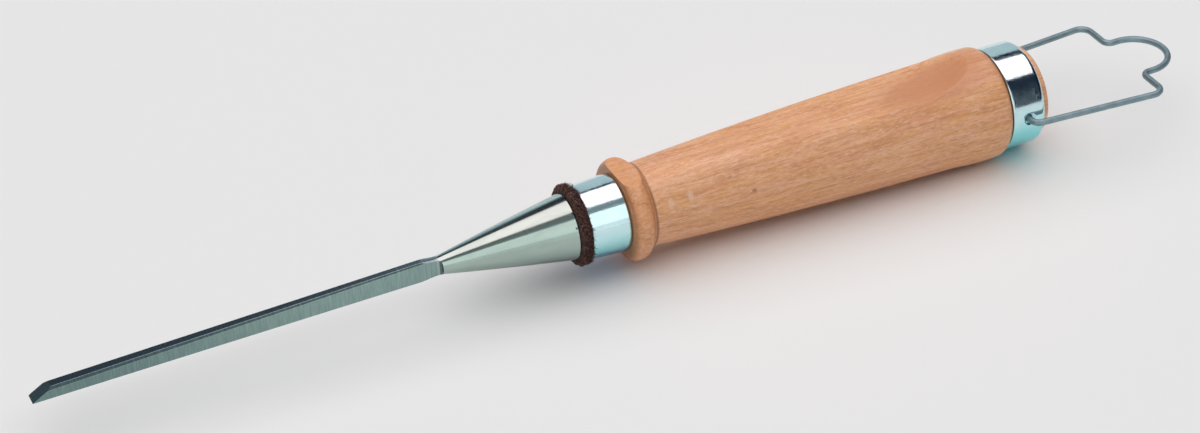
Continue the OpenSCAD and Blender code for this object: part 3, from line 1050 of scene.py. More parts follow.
@dataclass
class Blade(Piece):
    """Ground blade, conical bolster and the tang that runs into the handle."""

    NAME = "ground_blade"
    NODE = "blade"
    SLOT = Slot.STEEL
    FINISH = SteelFinish()
    CREASE_DEG = 26.0
    width: float = 4.0
    neck_w: float = 2.4
    tip_t: float = 3.15
    neck_t: float = 5.8
    neck_s: float = 108.3
    back_neck_z: float = 2.75
    lean_deg: float = 0.4
    bevel_deg: float = 30.0
    hone_deg: float = 38.0
    hone_len: float = 0.5
    chamfer_tip: float = 0.7
    chamfer_neck: float = 0.4
    chamfer_deg: float = 45.0
    runout: float = 1.2
    neck_r: float = 2.55
    narrow_deg: float = 7.0
    neck_arc: float = 12.0
    bolster_l: float = 37.3
    bolster_r: float = 9.1
    bolster_swell: float = 0.15
    bolster_bevel: float = 0.4
    settle_l: float = 8.0
    tang_w: float = 7.0
    tang_end_w: float = 3.0
    tang_l: float = 72.0
    tang_rows: int = 9
    tang_bearings: Weights = (-135.0, -45.0, 45.0, 55.0, 125.0, 135.0, 225.0)
    edge_break: float = 0.06
    edge_limit: float = 0.3
    per_edge: int = 36
    near_neck: Tuple[float, float, float] = (-8.0, 1.3, 6.0)
    sections: Tuple[int, ...] = (4, 40, 40, 41, 40, 24, 40)

    @property
    def bevel_l(self) -> float:
        """Length of the end bevel: thickness over the tangent of its angle."""
        return self.tip_t / tangent(self.bevel_deg)

    @property
    def base_s(self) -> float:
        """Station of the bolster's seat."""
        return self.neck_s + self.bolster_l

    def stations(self) -> Array:
        """Stations of the sections, closer at the tip and the neck.

        Returns:
            Stations in rising order.
        """
        before, after, cone = (self.neck_s + gap for gap in self.near_neck)
        last = self.base_s - self.bolster_bevel
        marks = (0.0, self.hone_len, self.bevel_l, before, self.neck_s, after, cone, last)
        runs = [np.linspace(*run) for run in zip(marks, marks[1:], self.sections)]
        return np.unique(np.concatenate(runs))

    def limits(self, s: Array) -> Tuple[Array, Array, Array, Array]:
        """Back, top, full top before the bevel, and chamfer width at each station.

        The back leans by a constant slope, the top follows the back plus a thickness that
        grows evenly, and near the edge the top drops to the honed and the end bevel.

        Args:
            s: Stations.

        Returns:
            Heights of the back, of the top, of the top before the bevel, and chamfer widths.
        """
        slope, bevel, hone = map(tangent, (self.lean_deg, self.bevel_deg, self.hone_deg))
        back = -(self.back_neck_z + self.neck_s * slope) + s * slope
        growth = (self.neck_t - self.tip_t) / (self.neck_s - self.bevel_l)
        full = back + self.tip_t + (s - self.bevel_l) * growth
        ground = back + self.hone_len * hone + (s - self.hone_len) * bevel
        top = np.minimum(full, np.where(s < self.hone_len, back + s * hone, ground))
        chamfer = self.chamfer_tip + (self.chamfer_neck - self.chamfer_tip) * s / self.neck_s
        return back, top, full, chamfer

    def half_width(self, s: Array) -> Array:
        """Half the blade's width, which falls evenly from the edge to the neck."""
        return (self.width + (self.neck_w - self.width) * s / self.neck_s) / 2

    def corners(self, s: Array) -> Array:
        """Six corners of the section at each station, counter-clockwise from the lower left.

        Args:
            s: Stations, none beyond the neck.

        Returns:
            Stations by six by (y, z).
        """
        back, top, full, chamfer = self.limits(s)
        half = self.half_width(s)
        fall = tangent(self.chamfer_deg)
        shoulder_y = np.minimum(half, half - chamfer + (full - top) / fall)
        shoulder_z = np.minimum(top, full - chamfer * fall)
        right = [(half, back), (half, shoulder_z), (shoulder_y, top)]
        left = [(-y, z) for y, z in right]
        points = left[:1] + right + left[:0:-1]
        return np.stack([np.stack(p, axis=-1) for p in points], axis=1)

    def outline(self, s: Array) -> Array:
        """Points round each section, every corner broken by a hair's width.

        Args:
            s: Stations, none beyond the neck.

        Returns:
            Stations by points by (y, z).
        """
        start = self.corners(s)
        end = np.roll(start, -1, axis=1)
        length = np.maximum(np.linalg.norm(end - start, axis=-1), TINY)
        inset = np.minimum(self.edge_break / length, self.edge_limit)[:, :, None]
        share = inset + (1 - 2 * inset) * np.linspace(0.0, 1.0, self.per_edge)
        share = np.where(length[:, :, None] < SAME_MM, 0.0, share)[..., None]
        return (start[:, :, None] * (1 - share) + end[:, :, None] * share).reshape(len(s), -1, 2)

    def stock_radius(self, s: Array) -> Array:
        """Radius of the forged stock: a narrowing bar, the hollow neck, then the bolster cone.

        The bar falls by the tangent of its slope; the hollow is neck radius plus arc radius less
        the square root of arc radius squared less distance from the neck squared; the cone bulges.

        Args:
            s: Stations.

        Returns:
            Radii.
        """
        fall = math.radians(self.narrow_deg)
        rise = math.atan((self.bolster_r - self.neck_r) / self.bolster_l)
        hub = np.array([self.neck_r + self.neck_arc, self.neck_s])
        first = hub - self.neck_arc * np.array([math.cos(fall), math.sin(fall)])
        last = hub - self.neck_arc * np.array([math.cos(rise), -math.sin(rise)])
        foot = np.array([self.bolster_r, self.base_s])
        cone_c, cone_arc = bulge(last, foot, self.bolster_swell)
        bar = first[0] + (first[1] - s) * math.tan(fall)
        near = np.clip(s - self.neck_s, -self.neck_arc, self.neck_arc)
        neck = hub[0] - np.sqrt(self.neck_arc**2 - near**2)
        cone = cone_c[0] + np.sqrt(cone_arc**2 - (np.maximum(s, last[1]) - cone_c[1]) ** 2)
        return np.where(s < first[1], bar, np.where(s < last[1], neck, cone))

    def stock_reach(self, s: Array, way: Array, hub_z: Array) -> Array:
        """Distance from each section's hub to the stock's circle, along unit directions.

        Args:
            s: Stations.
            way: Unit directions, stations by points by (y, z).
            hub_z: Height of each hub.

        Returns:
            Stations by points.
        """
        hub = hub_z[:, None]
        lean = hub * way[..., 1]
        inside = lean**2 - hub**2 + self.stock_radius(s)[:, None] ** 2
        return np.sqrt(np.maximum(inside, TINY)) - lean

    def section_radius(self, s: Array, way: Array, hub_z: Array) -> Array:
        """Distance from each section's hub to the first ground face or the stock.

        A face is left behind where its wheel lifted away past the neck.

        Args:
            s: Stations, all at the neck or beyond.
            way: Unit directions, stations by points by (y, z).
            hub_z: Height of each hub.

        Returns:
            Stations by points.
        """
        lift = lift_off(s - self.neck_s, self.runout)[:, None]
        back, top, _, _ = self.limits(s)
        dy, dz = way[..., 0], way[..., 1]
        side = (self.half_width(s)[:, None] + lift) / np.maximum(np.abs(dy), TINY)
        below = (hub_z - back)[:, None] + lift
        above = (top - hub_z)[:, None] + lift
        under = np.where(dz < -TINY, below / np.maximum(-dz, TINY), FAR)
        over = np.where(dz > TINY, above / np.maximum(dz, TINY), FAR)
        stock = self.stock_reach(s, way, hub_z)
        return np.minimum(np.minimum(side, stock), np.minimum(under, over))

    def patches(self) -> List[Patch]:
        """Lofts the sections: ground outline, then the polar cone, then the tapered square tang.

        Returns:
            One closed grid.
        """
        s = self.stations()
        held = np.minimum(s, self.neck_s)
        ring = self.outline(held)
        back, top, _, _ = self.limits(held)
        middle = (back + top) / 2
        settle = np.clip((s - self.neck_s) / self.settle_l, 0.0, 1.0)
        hub_z = middle * (1 - settle**2 * (3 - 2 * settle))
        spoke = ring - np.stack([np.zeros_like(middle), middle], axis=-1)[:, None]
        reach = np.linalg.norm(spoke, axis=-1)
        way = spoke / np.maximum(reach, TINY)[..., None]
        ground = np.minimum(reach, self.stock_reach(s, way, hub_z))
        beyond = self.section_radius(s, way, hub_z)
        radius = np.where((s <= self.neck_s)[:, None], ground, beyond)
        y = way[..., 0] * radius
        z = way[..., 1] * radius + hub_z[:, None]
        front = np.stack([np.broadcast_to(s[:, None], y.shape), y, z], axis=-1)
        return [Patch(np.concatenate([front, self.tail(front[-1])]))]

    def tail(self, last: Array) -> Array:
        """Seat bevel, flat seat, square tang and its end, as rows after the bolster.

        The square's radius is one over the greater of cosine and sine of its bearing.

        Args:
            last: Last ring of the bolster.

        Returns:
            Rows by points by three.
        """
        bearings = np.radians(self.tang_bearings)
        share = np.linspace(0.0, 1.0, self.per_edge, endpoint=False)
        angle = (bearings[:-1, None] * (1 - share) + bearings[1:, None] * share).reshape(-1)
        square = 1.0 / np.maximum(np.abs(np.cos(angle)), np.abs(np.sin(angle)))
        turn = np.arctan2(last[:, 2], last[:, 1])
        seat_r = self.bolster_r - self.bolster_bevel
        ends = self.base_s + np.linspace(0.0, self.tang_l, self.tang_rows)
        half = np.linspace(self.tang_w, self.tang_end_w, self.tang_rows) / 2
        tang = turned(half[:, None] * square, ends[:, None], angle[None, :])
        edge = spun(np.array([[seat_r, self.base_s]]), turn)
        tip = tang[-1:] * np.array([1.0, 0.0, 0.0])
        return np.concatenate([edge, tang, tip])


@dataclass
class LeatherWasher(Piece):
    """Leather washer between bolster and ferrule, with a frayed rim."""

    NAME = "frayed_washer"
    NODE = "leather_washer"
    SLOT = Slot.LEATHER
    FINISH = LeatherFinish()
    CREASE_DEG = 60.0
    front_s: float = 145.6
    thick: float = 2.9
    outer_r: float = 10.9
    hole_r: float = 5.1
    front_round: float = 1.0
    rear_round: float = 1.6
    columns: int = 320
    waves: int = 90
    wave_turns: Tuple[int, int] = (6, 120)
    wave_run: float = 7.0
    fray: float = 0.252
    fray_from: float = 8.6
    fray_power: float = 1.5
    fray_limit: float = 1.6
    fibres: int = 1300
    root_run: Place = (0.08, 0.88, 0.6)
    root_inset: Span = (0.3, 0.5)
    fibre_spread: float = 0.7
    fibre_slant: float = 0.8
    fibre_curl: float = 0.3
    fibre_length: Span = (0.4, 1.2)
    fibre_r: Span = (0.05, 0.12)
    fibre_rows: Weights = (0.0, 0.0, 0.35, 0.7, 1.0)
    fibre_taper: Weights = (0.0, 1.0, 0.9, 0.6, 0.0)
    fibre_twist: float = 0.3
    fibre_sides: int = 3
    seed: int = 11

    def profile(self) -> Array:
        """Closed outline of the washer, front face first.

        Returns:
            The points.
        """
        front, rear = self.front_s, self.front_s + self.thick
        front_in, rear_in = self.outer_r - self.front_round, self.outer_r - self.rear_round
        low, high = front + self.front_round, rear - self.rear_round
        return joined([
            line((self.hole_r, front), (front_in, front), 10),
            arc((front_in, low), (front_in, front), (self.outer_r, low), 10),
            line((self.outer_r, low), (self.outer_r, high), 6),
            arc((rear_in, high), (self.outer_r, high), (rear_in, rear), 12),
            line((rear_in, rear), (self.hole_r, rear), 10),
        ])

    def disc(self, rng: np.random.Generator) -> Patch:
        """Turned outline whose radius is shaken by a sum of seeded waves, strongest at the rim.

        Args:
            rng: Source of the waves.

        Returns:
            The closed disc.
        """
        outline = self.profile()
        radius, station = outline[:, 0, None], outline[:, 1, None]
        angle = all_round(self.columns)
        around = rng.integers(*self.wave_turns, self.waves)
        along = rng.uniform(-self.wave_run, self.wave_run, self.waves)
        phase = rng.uniform(0.0, FULL_TURN, self.waves)
        weight = rng.normal(0.0, 1.0, self.waves) / np.sqrt(around)
        waves = np.sin(around * angle[None, :, None] + along * station[..., None] + phase) @ weight
        shake = np.clip(waves / waves.std(), -self.fray_limit, self.fray_limit)
        share = (radius - self.fray_from) / (self.outer_r - self.fray_from)
        rim = np.clip(share, 0.0, 1.0) ** self.fray_power
        frayed = radius + self.fray * rim * shake
        return Patch(turned(frayed, station, angle[None, :]), wrap_rows=True)

    def strands(self, rng: np.random.Generator) -> Patch:
        """Short tapering fibres on the rim: base + length (t way + t^2 bend), closed at both ends.

        Args:
            rng: Source of their places and shapes.

        Returns:
            A stack of tiny three-sided tubes.
        """
        count = self.fibres
        angle = rng.uniform(0.0, FULL_TURN, count)
        start, span, crowd = self.root_run
        run = self.thick * (start + span * rng.uniform(0.0, 1.0, count) ** crowd)
        sunk, slope = self.root_inset
        root_r = self.outer_r - sunk - slope * np.abs(run - self.thick / 2) / self.thick
        base = turned(root_r, self.front_s + run, angle)
        outward = turned(np.ones(count), np.zeros(count), angle)
        sideways = turned(np.ones(count), np.zeros(count), angle + math.pi / 2)
        rearward = np.array([1.0, 0.0, 0.0])
        lean, slant = rng.normal(0.0, self.fibre_spread, (2, count, 1))
        way = unit(outward + sideways * lean + rearward * (slant + self.fibre_slant))
        bend = sideways * rng.normal(0.0, self.fibre_curl, (count, 1))
        bend = bend + rearward * rng.normal(0.0, self.fibre_curl, (count, 1))
        length = rng.uniform(*self.fibre_length, (count, 1, 1))
        t = np.array(self.fibre_rows)[None, :, None]
        spine = base[:, None] + length * (t * way[:, None] + t**2 * bend[:, None])
        taper = np.array(self.fibre_taper)[None, :, None]
        thick = rng.uniform(*self.fibre_r, (count, 1, 1)) * taper
        one = unit(np.cross(way, rearward + self.fibre_twist * outward))
        two = np.cross(way, one)
        bearing = all_round(self.fibre_sides)[None, :, None]
        ring = one[:, None, :] * np.cos(bearing) + two[:, None, :] * np.sin(bearing)
        points = spine[:, :, None, :] + thick[..., None] * ring[:, None, :, :]
        return Patch(points[:, :, ::-1])

    def patches(self) -> List[Patch]:
        """The disc and its fibres, from one seeded source."""
        rng = np.random.default_rng(self.seed)
        return [self.disc(rng), self.strands(rng)]


@dataclass
class FrontFerrule(Piece):
    """Slightly conical plated ring on the handle's front spigot."""

    NAME = "ferrule_ring"
    NODE = "front_ferrule"
    SLOT = Slot.PLATE
    FINISH = PlateFinish()
    CREASE_DEG = 40.0
    front_s: float = 148.5
    length: float = 10.9
    front_r: float = 10.07
    rear_r: float = 10.65
    inner_r: float = 8.95
    bevel: float = 0.4
    last_row: float = 0.5
    columns: int = 224

    def patches(self) -> List[Patch]:
        """Closed outline with rounded outer edges, turned about the axis.

        Returns:
            One closed ring.
        """
        front, rear, b = self.front_s, self.front_s + self.length, self.bevel
        rise = (self.rear_r - self.front_r) / (self.length - 2 * b) * b
        front_in, front_out = (self.front_r - b, front), (self.front_r, front + b)
        rear_in, rear_out = (self.rear_r - b, rear), (self.rear_r, rear - b)
        outline = joined([
            line((self.inner_r, front), front_in, 3),
            soft_corner(front_in, (self.front_r - rise, front), front_out, 7),
            line(front_out, rear_out, 16),
            soft_corner(rear_out, (self.rear_r + rise, rear), rear_in, 7),
            line(rear_in, (self.inner_r, rear), 3),
            line((self.inner_r, rear), (self.inner_r, front + self.last_row), 5),
        ])
        return [Patch(spun(outline, all_round(self.columns)), wrap_rows=True)]


@dataclass
class Handle(Piece):
    """Turned handle with a bead, a swelling grip, two flats and a struck end."""

    NAME = "turned_handle"
    NODE = "handle"
    SLOT = Slot.BEECH
    FINISH = BeechFinish()
    CREASE_DEG = 50.0
    collar_s: float = 149.2
    shoulder_s: float = 159.4
    spigot_r: float = 8.9
    spigot_break: float = 0.2
    bead_r: float = 14.05
    bead_arc: float = 3.6
    bead_back: float = 2.9
    bead_break: float = 0.45
    bead_skip: int = 3
    groove_r: float = 11.5
    groove_arc: float = 1.0
    waist_r: float = 15.0
    waist_s: float = 249.0
    grip_swell: float = 0.4
    knob_r: float = 15.75
    knob_s: float = 266.3
    knob_arc: float = 70.0
    waist_arc: float = 60.0
    hoop_s: float = 272.6
    shoulder_round: float = 2.8
    tenon_r: float = 12.55
    tenon_break: float = 0.5
    butt_s: float = 286.8
    dome_rise: float = 2.2
    flat_z: float = 11.7
    flat_end_s: float = 245.3
    flat_runout: float = 50.0
    hinge_s: float = 277.7
    hole_r: float = 1.1
    pin_depth: float = 9.3
    hole_shares: Weights = (0.35, 0.7, 1.0)
    hole_depths: Weights = (11.4, 10.2)
    window_half: float = 2.4
    window_rows: int = 8
    window_cols: int = 5
    seat_gap: float = 0.14
    edge_soft: float = 0.14
    crest_span_deg: float = 1.3
    crest_low: float = 0.2
    crest_high_deg: float = 78.0
    quarter: Tuple[int, int, int] = (32, 5, 28)

    def profile(self) -> Tuple[Array, int]:
        """Half outline of the handle from the front spigot to the struck end.

        The bead, the hollow behind it, the bulging grip, the hollow waist and the end swell
        are arcs that touch, then a rounded shoulder, the tenon and a shallow dome.

        Returns:
            The points and the first row of the stretch that holds the drilled holes.
        """
        bead_c = np.array([self.bead_r - self.bead_arc, self.shoulder_s + self.bead_back])
        bead = (bead_c, self.bead_arc)
        rise = self.groove_r + self.groove_arc - bead_c[0]
        groove_s = bead_c[1] + math.sqrt((self.bead_arc + self.groove_arc) ** 2 - rise**2)
        groove, waist = np.array([[self.groove_r, groove_s], [self.waist_r, self.waist_s]])
        grip = bulge(groove, waist, self.grip_swell)
        knob = (np.array([self.knob_r - self.knob_arc, self.knob_s]), self.knob_arc)
        groove_c = hollow(bead, grip, self.groove_arc, Direction.REAR)
        waist_c = hollow(grip, knob, self.waist_arc, Direction.FRONT)
        round_s = self.hoop_s - self.shoulder_round
        inner_arc = self.knob_arc - self.shoulder_round
        round_r = knob[0][0] + math.sqrt(inner_arc**2 - (round_s - self.knob_s) ** 2)
        round_c = np.array([round_r, round_s])
        knob_end = touch(knob, round_c)
        seat = self.shoulder_s + self.seat_gap
        lead = math.sqrt(self.bead_arc**2 - (bead_c[1] - seat) ** 2)
        edge = np.array([bead_c[0] + lead, seat])
        broken = edge - np.array([self.bead_break, 0.0])
        bead_rows = arc(bead_c, edge, touch(bead, groove_c), 44)[self.bead_skip:]
        tenon, spigot = self.tenon_r, self.spigot_r
        first_s, last_s = self.hinge_s - self.window_half, self.hinge_s + self.window_half
        dome_s = self.butt_s - self.dome_rise
        dome_arc = (tenon**2 + self.dome_rise**2) / (2 * self.dome_rise)
        dome = arc((0.0, self.butt_s - dome_arc), (tenon, dome_s), (0.0, self.butt_s), 18)[1:]
        brink = (tenon, dome_s - self.tenon_break)
        ahead = joined([
            line((0.0, self.collar_s), (spigot - self.spigot_break, self.collar_s), 3),
            line((spigot, self.collar_s + self.spigot_break), (spigot, seat), 4),
            line((spigot, seat), broken, 6),
            soft_corner(broken, edge, bead_rows[0], 6),
            bead_rows,
            arc(groove_c, touch(bead, groove_c), touch(grip, groove_c), 16),
            arc(grip[0], touch(grip, groove_c), touch(grip, waist_c), 72),
            arc(waist_c, touch(grip, waist_c), touch(knob, waist_c), 14),
            arc(knob[0], touch(knob, waist_c), knob_end, 24),
            arc(round_c, knob_end, (round_r, self.hoop_s), 14),
            line((round_r, self.hoop_s), (tenon, self.hoop_s), 2),
            line((tenon, self.hoop_s), (tenon, first_s), 4),
        ])
        rest = joined([
            line((tenon, first_s), (tenon, last_s), self.window_rows + 1),
            line((tenon, last_s), brink, 4),
            soft_corner(brink, (tenon, dome_s), dome[0], 5),
            dome,
        ])
        return np.concatenate([ahead[:-1], rest]), len(ahead) - 1

    def flat_limit(self, s: Array) -> Array:
        """Half height left by the flats: constant, then lifting away on the cutter's radius."""
        return self.flat_z + lift_off(s - self.flat_end_s, self.flat_runout)

    def bearings(self, radius: Array, limit: Array) -> Array:
        """Angles of the columns from -90 to 90 degrees, drawn together along the flats' edges.

        Args:
            radius: Turned radius of each row.
            limit: Half height of the flats at each row.

        Returns:
            Rows by columns, in radians.
        """
        highest = math.sin(math.radians(self.crest_high_deg))
        sine = np.clip(limit / np.maximum(radius, TINY), self.crest_low, highest)
        crest = np.arcsin(sine)[:, None]
        span = math.radians(self.crest_span_deg)
        low, mid, high = (np.linspace(0.0, 1.0, n)[None, :] for n in self.quarter_counts())
        quarter = np.concatenate([
            low * (crest - span),
            (crest - span) + mid[:, 1:-1] * 2 * span,
            (crest + span) + high * (math.pi / 2 - crest - span),
        ], axis=1)
        return np.concatenate([-quarter[:, ::-1], quarter[:, 1:-1]], axis=1)

    def quarter_counts(self) -> Tuple[int, int, int]:
        """Columns below a flat's edge, along it with both ends, and above it."""
        low, mid, high = self.quarter
        return low, mid + 2, high

    def cut(self, radius: Array, limit: Array, angle: Array) -> Array:
        """Turned radius cut by the flats: a soft minimum of radius and limit over sin angle.

        Args:
            radius: Turned radius of each row.
            limit: Half height of the flats at each row.
            angle: Rows by columns of angles.

        Returns:
            Rows by columns of radii.
        """
        flat = limit[:, None] / np.maximum(np.abs(np.sin(angle)), TINY)
        own = np.broadcast_to(radius[:, None], flat.shape)
        share = np.clip(0.5 + 0.5 * (flat - own) / self.edge_soft, 0.0, 1.0)
        soft = flat * (1 - share) + own * share - self.edge_soft * share * (1 - share)
        return np.where(own < SAME_MM, 0.0, np.where(flat - own > self.edge_soft, own, soft))

    def patches(self) -> List[Patch]:
        """Turned body with the flats cut, and a blind hole on each side for the wire's ends.

        Returns:
            The body and the two holes.
        """
        outline, first = self.profile()
        limit = self.flat_limit(outline[:, 1])
        angle = self.bearings(outline[:, 0], limit)
        half = turned(self.cut(outline[:, 0], limit, angle), outline[:, 1, None], angle)
        grid = np.concatenate([half, other_side(half)], axis=1)
        middle, wide = sum(self.quarter) - 1, self.window_cols
        window = Window(first, first + self.window_rows, middle - wide, middle + wide)
        keep = np.ones((grid.shape[0] - 1, grid.shape[1]), bool)
        window.clear(keep)
        hole = self.hole_rings(grid[window.rim()])
        return [Patch(grid, keep=keep), Patch(hole), Patch(other_side(hole))]

    def hole_rings(self, rim: Array) -> Array:
        """Rings from a window's rim to the hole's edge, down its wall and across its floor.

        Args:
            rim: Points round the window.

        Returns:
            Rows by points by three.
        """
        hole = Hole(rim, self.hinge_s, self.hole_r)
        wall = [hole.on_wall(share, self.tenon_r) for share in self.hole_shares]
        depth = [hole.at(y) for y in (*self.hole_depths, self.pin_depth)]
        floor = Hole(rim, self.hinge_s, 0.0).at(self.pin_depth)
        return np.stack([rim, *wall, *depth, floor])


@dataclass
class StrikingHoop(Piece):
    """Plated hoop round the struck end, with a dished hole on each side."""

    NAME = "hoop_ring"
    NODE = "striking_hoop"
    SLOT = Slot.PLATE
    FINISH = PlateFinish()
    CREASE_DEG = 40.0
    front_s: float = 272.6
    length: float = 10.2
    outer_r: float = 14.4
    inner_r: float = 12.6
    rear_round: float = 1.4
    front_break: float = 0.3
    inner_break: float = 0.15
    last_row: float = 0.6
    hinge_s: float = 277.7
    hole_r: float = 1.1
    dish_r: float = 2.0
    dish_depth: float = 0.6
    dish_rows: int = 8
    bore_y: Span = (13.55, 13.1)
    reach: float = 2.6
    window_rows: int = 10
    window_cols: int = 5
    column_deg: float = 2.0

    def profile(self) -> Tuple[Array, int, int]:
        """Closed outline of the hoop.

        Returns:
            The points, the row where the outer wall's window starts, and the row where the
            inner wall's window starts.
        """
        front, rear = self.front_s, self.front_s + self.length
        edge = rear - self.rear_round
        b, c, o, i = self.front_break, self.inner_break, self.outer_r, self.inner_r
        low, high = self.hinge_s - self.reach, self.hinge_s + self.reach
        outer = line((o, low), (o, high), self.window_rows + 1)
        inner = line((i, high), (i, low), self.window_rows + 1)
        head = joined([
            line((i, front), (o - b, front), 4),
            soft_corner((o - b, front), (o, front), (o, front + b), 6),
            line((o, front + b), outer[0], 5),
        ])
        back = joined([
            line(outer[-1], (o, edge), 4),
            arc((o - self.rear_round, edge), (o, edge), (o - self.rear_round, rear), 12),
            line((o - self.rear_round, rear), (i + c, rear), 3),
            soft_corner((i + c, rear), (i, rear), (i, rear - c), 4),
            line((i, rear - c), inner[0], 4),
        ])
        tail = line(inner[-1], (i, front + self.last_row), 4)
        outline = np.concatenate([head[:-1], outer, back[1:-1], inner, tail[1:]])
        return outline, len(head) - 1, len(head) - 1 + len(outer) + len(back) - 2

    def patches(self) -> List[Patch]:
        """Turned ring, open at two windows, and the dished holes that fill them.

        Returns:
            The ring and the two holes.
        """
        outline, outer_row, inner_row = self.profile()
        span = self.window_rows
        half = spun(outline, np.radians(np.arange(-90.0, 90.0, self.column_deg)))
        grid = np.concatenate([half, other_side(half)], axis=1)
        middle, wide = half.shape[1] // 2, self.window_cols
        outer = Window(outer_row, outer_row + span, middle - wide, middle + wide)
        inner = Window(inner_row + span, inner_row, middle - wide, middle + wide)
        keep = np.ones(grid.shape[:2], bool)
        outer.clear(keep)
        inner.clear(keep)
        hole = self.hole_rings(grid[outer.rim()], grid[inner.rim()])
        return [Patch(grid, wrap_rows=True, keep=keep), Patch(hole), Patch(other_side(hole))]

    def hole_rings(self, rim: Array, inner_rim: Array) -> Array:
        """Rings from the outer wall through a smooth dish and the bore to the inner wall.

        The dish sinks by its depth times a smooth step from its rim to the bore.

        Args:
            rim: Points round the outer window.
            inner_rim: Points round the inner window, at the same bearings.

        Returns:
            Rows by points by three.
        """
        brim = Hole(rim, self.hinge_s, self.dish_r)
        outer = [brim.on_wall(share, self.outer_r) for share in (0.5, 1.0)]
        dish = []
        for share in np.linspace(0.0, 1.0, self.dish_rows + 1)[1:]:
            radius = self.dish_r + (self.hole_r - self.dish_r) * share
            ring = Hole(rim, self.hinge_s, radius).on_wall(1.0, self.outer_r)
            sink = self.dish_depth * share * share * (3 - 2 * share)
            dish.append(ring - np.array([0.0, sink, 0.0]))
        bore = [Hole(rim, self.hinge_s, self.hole_r).at(y) for y in self.bore_y]
        outlet = Hole(inner_rim, self.hinge_s, self.hole_r)
        inner = [outlet.on_wall(share, self.inner_r) for share in (1.0, 0.5)]
        return np.stack([rim, *outer, *dish, *bore, *inner, inner_rim])


@dataclass
class HangingLoop(Piece):
    """Bent wire loop that swings on its two ends in the hoop's holes."""

    NAME = "loop_wire"
    NODE = "hanging_loop"
    BODY = Body.LOOP
    SLOT = Slot.WIRE
    FINISH = WireFinish()
    CREASE_DEG = 60.0
    hinge_s: float = 277.7
    wire_d: float = 1.8
    pin_end: float = 9.8
    pin_break: float = 0.15
    leg_b: float = 17.15
    splay_deg: float = 4.8
    bend_r: float = 2.2
    shoulder_a: float = 39.5
    corner_r: float = 3.2
    notch_r: float = 2.2
    nose_r: float = 9.0
    reach: float = 52.1
    around: int = 24

    def half_path(self) -> Array:
        """Half of the wire's middle line, from its pin end to the tip of the nose.

        Returns:
            Points as (distance behind the hinge, distance from the axis).
        """
        lean = math.radians(self.splay_deg)
        bend = np.array([self.bend_r, self.leg_b - self.bend_r])
        away = np.array([-math.sin(lean), math.cos(lean)])
        bend_end = bend + self.bend_r * away
        corner_a = self.shoulder_a - self.corner_r
        leg = (corner_a - self.corner_r * math.sin(lean) - bend_end[0]) / math.cos(lean)
        leg_end = bend_end + leg * np.array([math.cos(lean), math.sin(lean)])
        corner = leg_end - self.corner_r * away
        notch = np.array([self.shoulder_a + self.notch_r, self.nose_r + self.notch_r])
        nose = np.array([self.reach - self.nose_r, 0.0])
        shoulder = np.array([self.shoulder_a, corner[1]])
        return joined([
            line((0.0, self.pin_end), (0.0, bend[1]), 6),
            arc(bend, (0.0, bend[1]), bend_end, 16),
            line(bend_end, leg_end, 16),
            arc(corner, leg_end, shoulder, 18),
            line(shoulder, (self.shoulder_a, notch[1]), 4),
            arc(notch, (self.shoulder_a, notch[1]), (notch[0], self.nose_r), 16),
            line((notch[0], self.nose_r), (nose[0], self.nose_r), 3),
            arc(nose, (nose[0], self.nose_r), (self.reach, 0.0), 24),
        ])

    def patches(self) -> List[Patch]:
        """A round section carried along the path: path + radius (cos a normal + sin a up).

        Returns:
            One tube, closed at both ends.
        """
        side = self.half_path()
        path = np.concatenate([side, side[-2::-1] * np.array([1.0, -1.0])])
        ahead = unit(np.gradient(path, axis=0))
        level = np.zeros(len(path))
        normal = np.stack([-ahead[:, 1], ahead[:, 0], level], axis=-1)
        spine = np.stack([self.hinge_s + path[:, 0], path[:, 1], level], axis=-1)
        angle = all_round(self.around)[None, :, None]
        ring = normal[:, None] * np.cos(angle) + np.array([0.0, 0.0, 1.0]) * np.sin(angle)
        size = np.full(len(path), self.wire_d / 2)
        size[[0, -1]] -= self.pin_break
        tube = spine[:, None] + size[:, None, None] * ring
        first = np.broadcast_to(spine[:1, None], tube[:1].shape)
        last = np.broadcast_to(spine[-1:, None], tube[-1:].shape)
        return [Patch(np.concatenate([first, tube, last]))]


# Studio


def axes(across: Place, back: Place, place: Place) -> Matrix:
    """Matrix of an object whose x axis is across and whose z axis points back.

    Args:
        across: Direction of the object's x axis.
        back: Direction of the object's z axis, made square to across.
        place: Position of the object.

    Returns:
        A four by four matrix.
    """
    x = unit(np.asarray(across, float))
    z = np.asarray(back, float)
    z = unit(z - x * (z @ x))
    whole = np.eye(4)
    whole[:3, :3] = np.stack([x, np.cross(z, x), z], axis=-1)
    whole[:3, 3] = place
    return Matrix(whole.tolist())


@dataclass(frozen=True)
class Panel:
    """Flat soft light.

    Attributes:
        name: Name of the light.
        centre: Middle of the panel, in metres.
        facing: Direction that it shines in.
        size: Width and height in metres.
        glow: Brightness of its surface.
        tint: Colour of its light.
        across: Direction of its width.
        shine: What it acts on.
    """

    name: str
    centre: Place
    facing: Place
    size: Span
    glow: float
    tint: Colour
    across: Place = (1.0, 0.0, 0.0)
    shine: Shine = Shine.MIRROR

    def hang(self) -> None:
        """Makes the light; its power is glow times pi times area."""
        light = bpy.data.lights.new(self.name, "AREA")
        light.shape = "RECTANGLE"
        light.size, light.size_y = self.size
        light.energy = self.glow * math.pi * self.size[0] * self.size[1]
        light.color = self.tint
        made = bpy.data.objects.new(self.name, light)
        made.matrix_world = axes(self.across, tuple(-c for c in self.facing), self.centre)
        made.visible_glossy = self.shine is Shine.MIRROR
        made.visible_diffuse = self.shine is Shine.MATTE
        bpy.context.scene.collection.objects.link(made)


DOWN, AWAY, BACK, LEFT = (0, 0, -1), (0, 1, 0), (0, -1, 0), (-1, 0, 0)


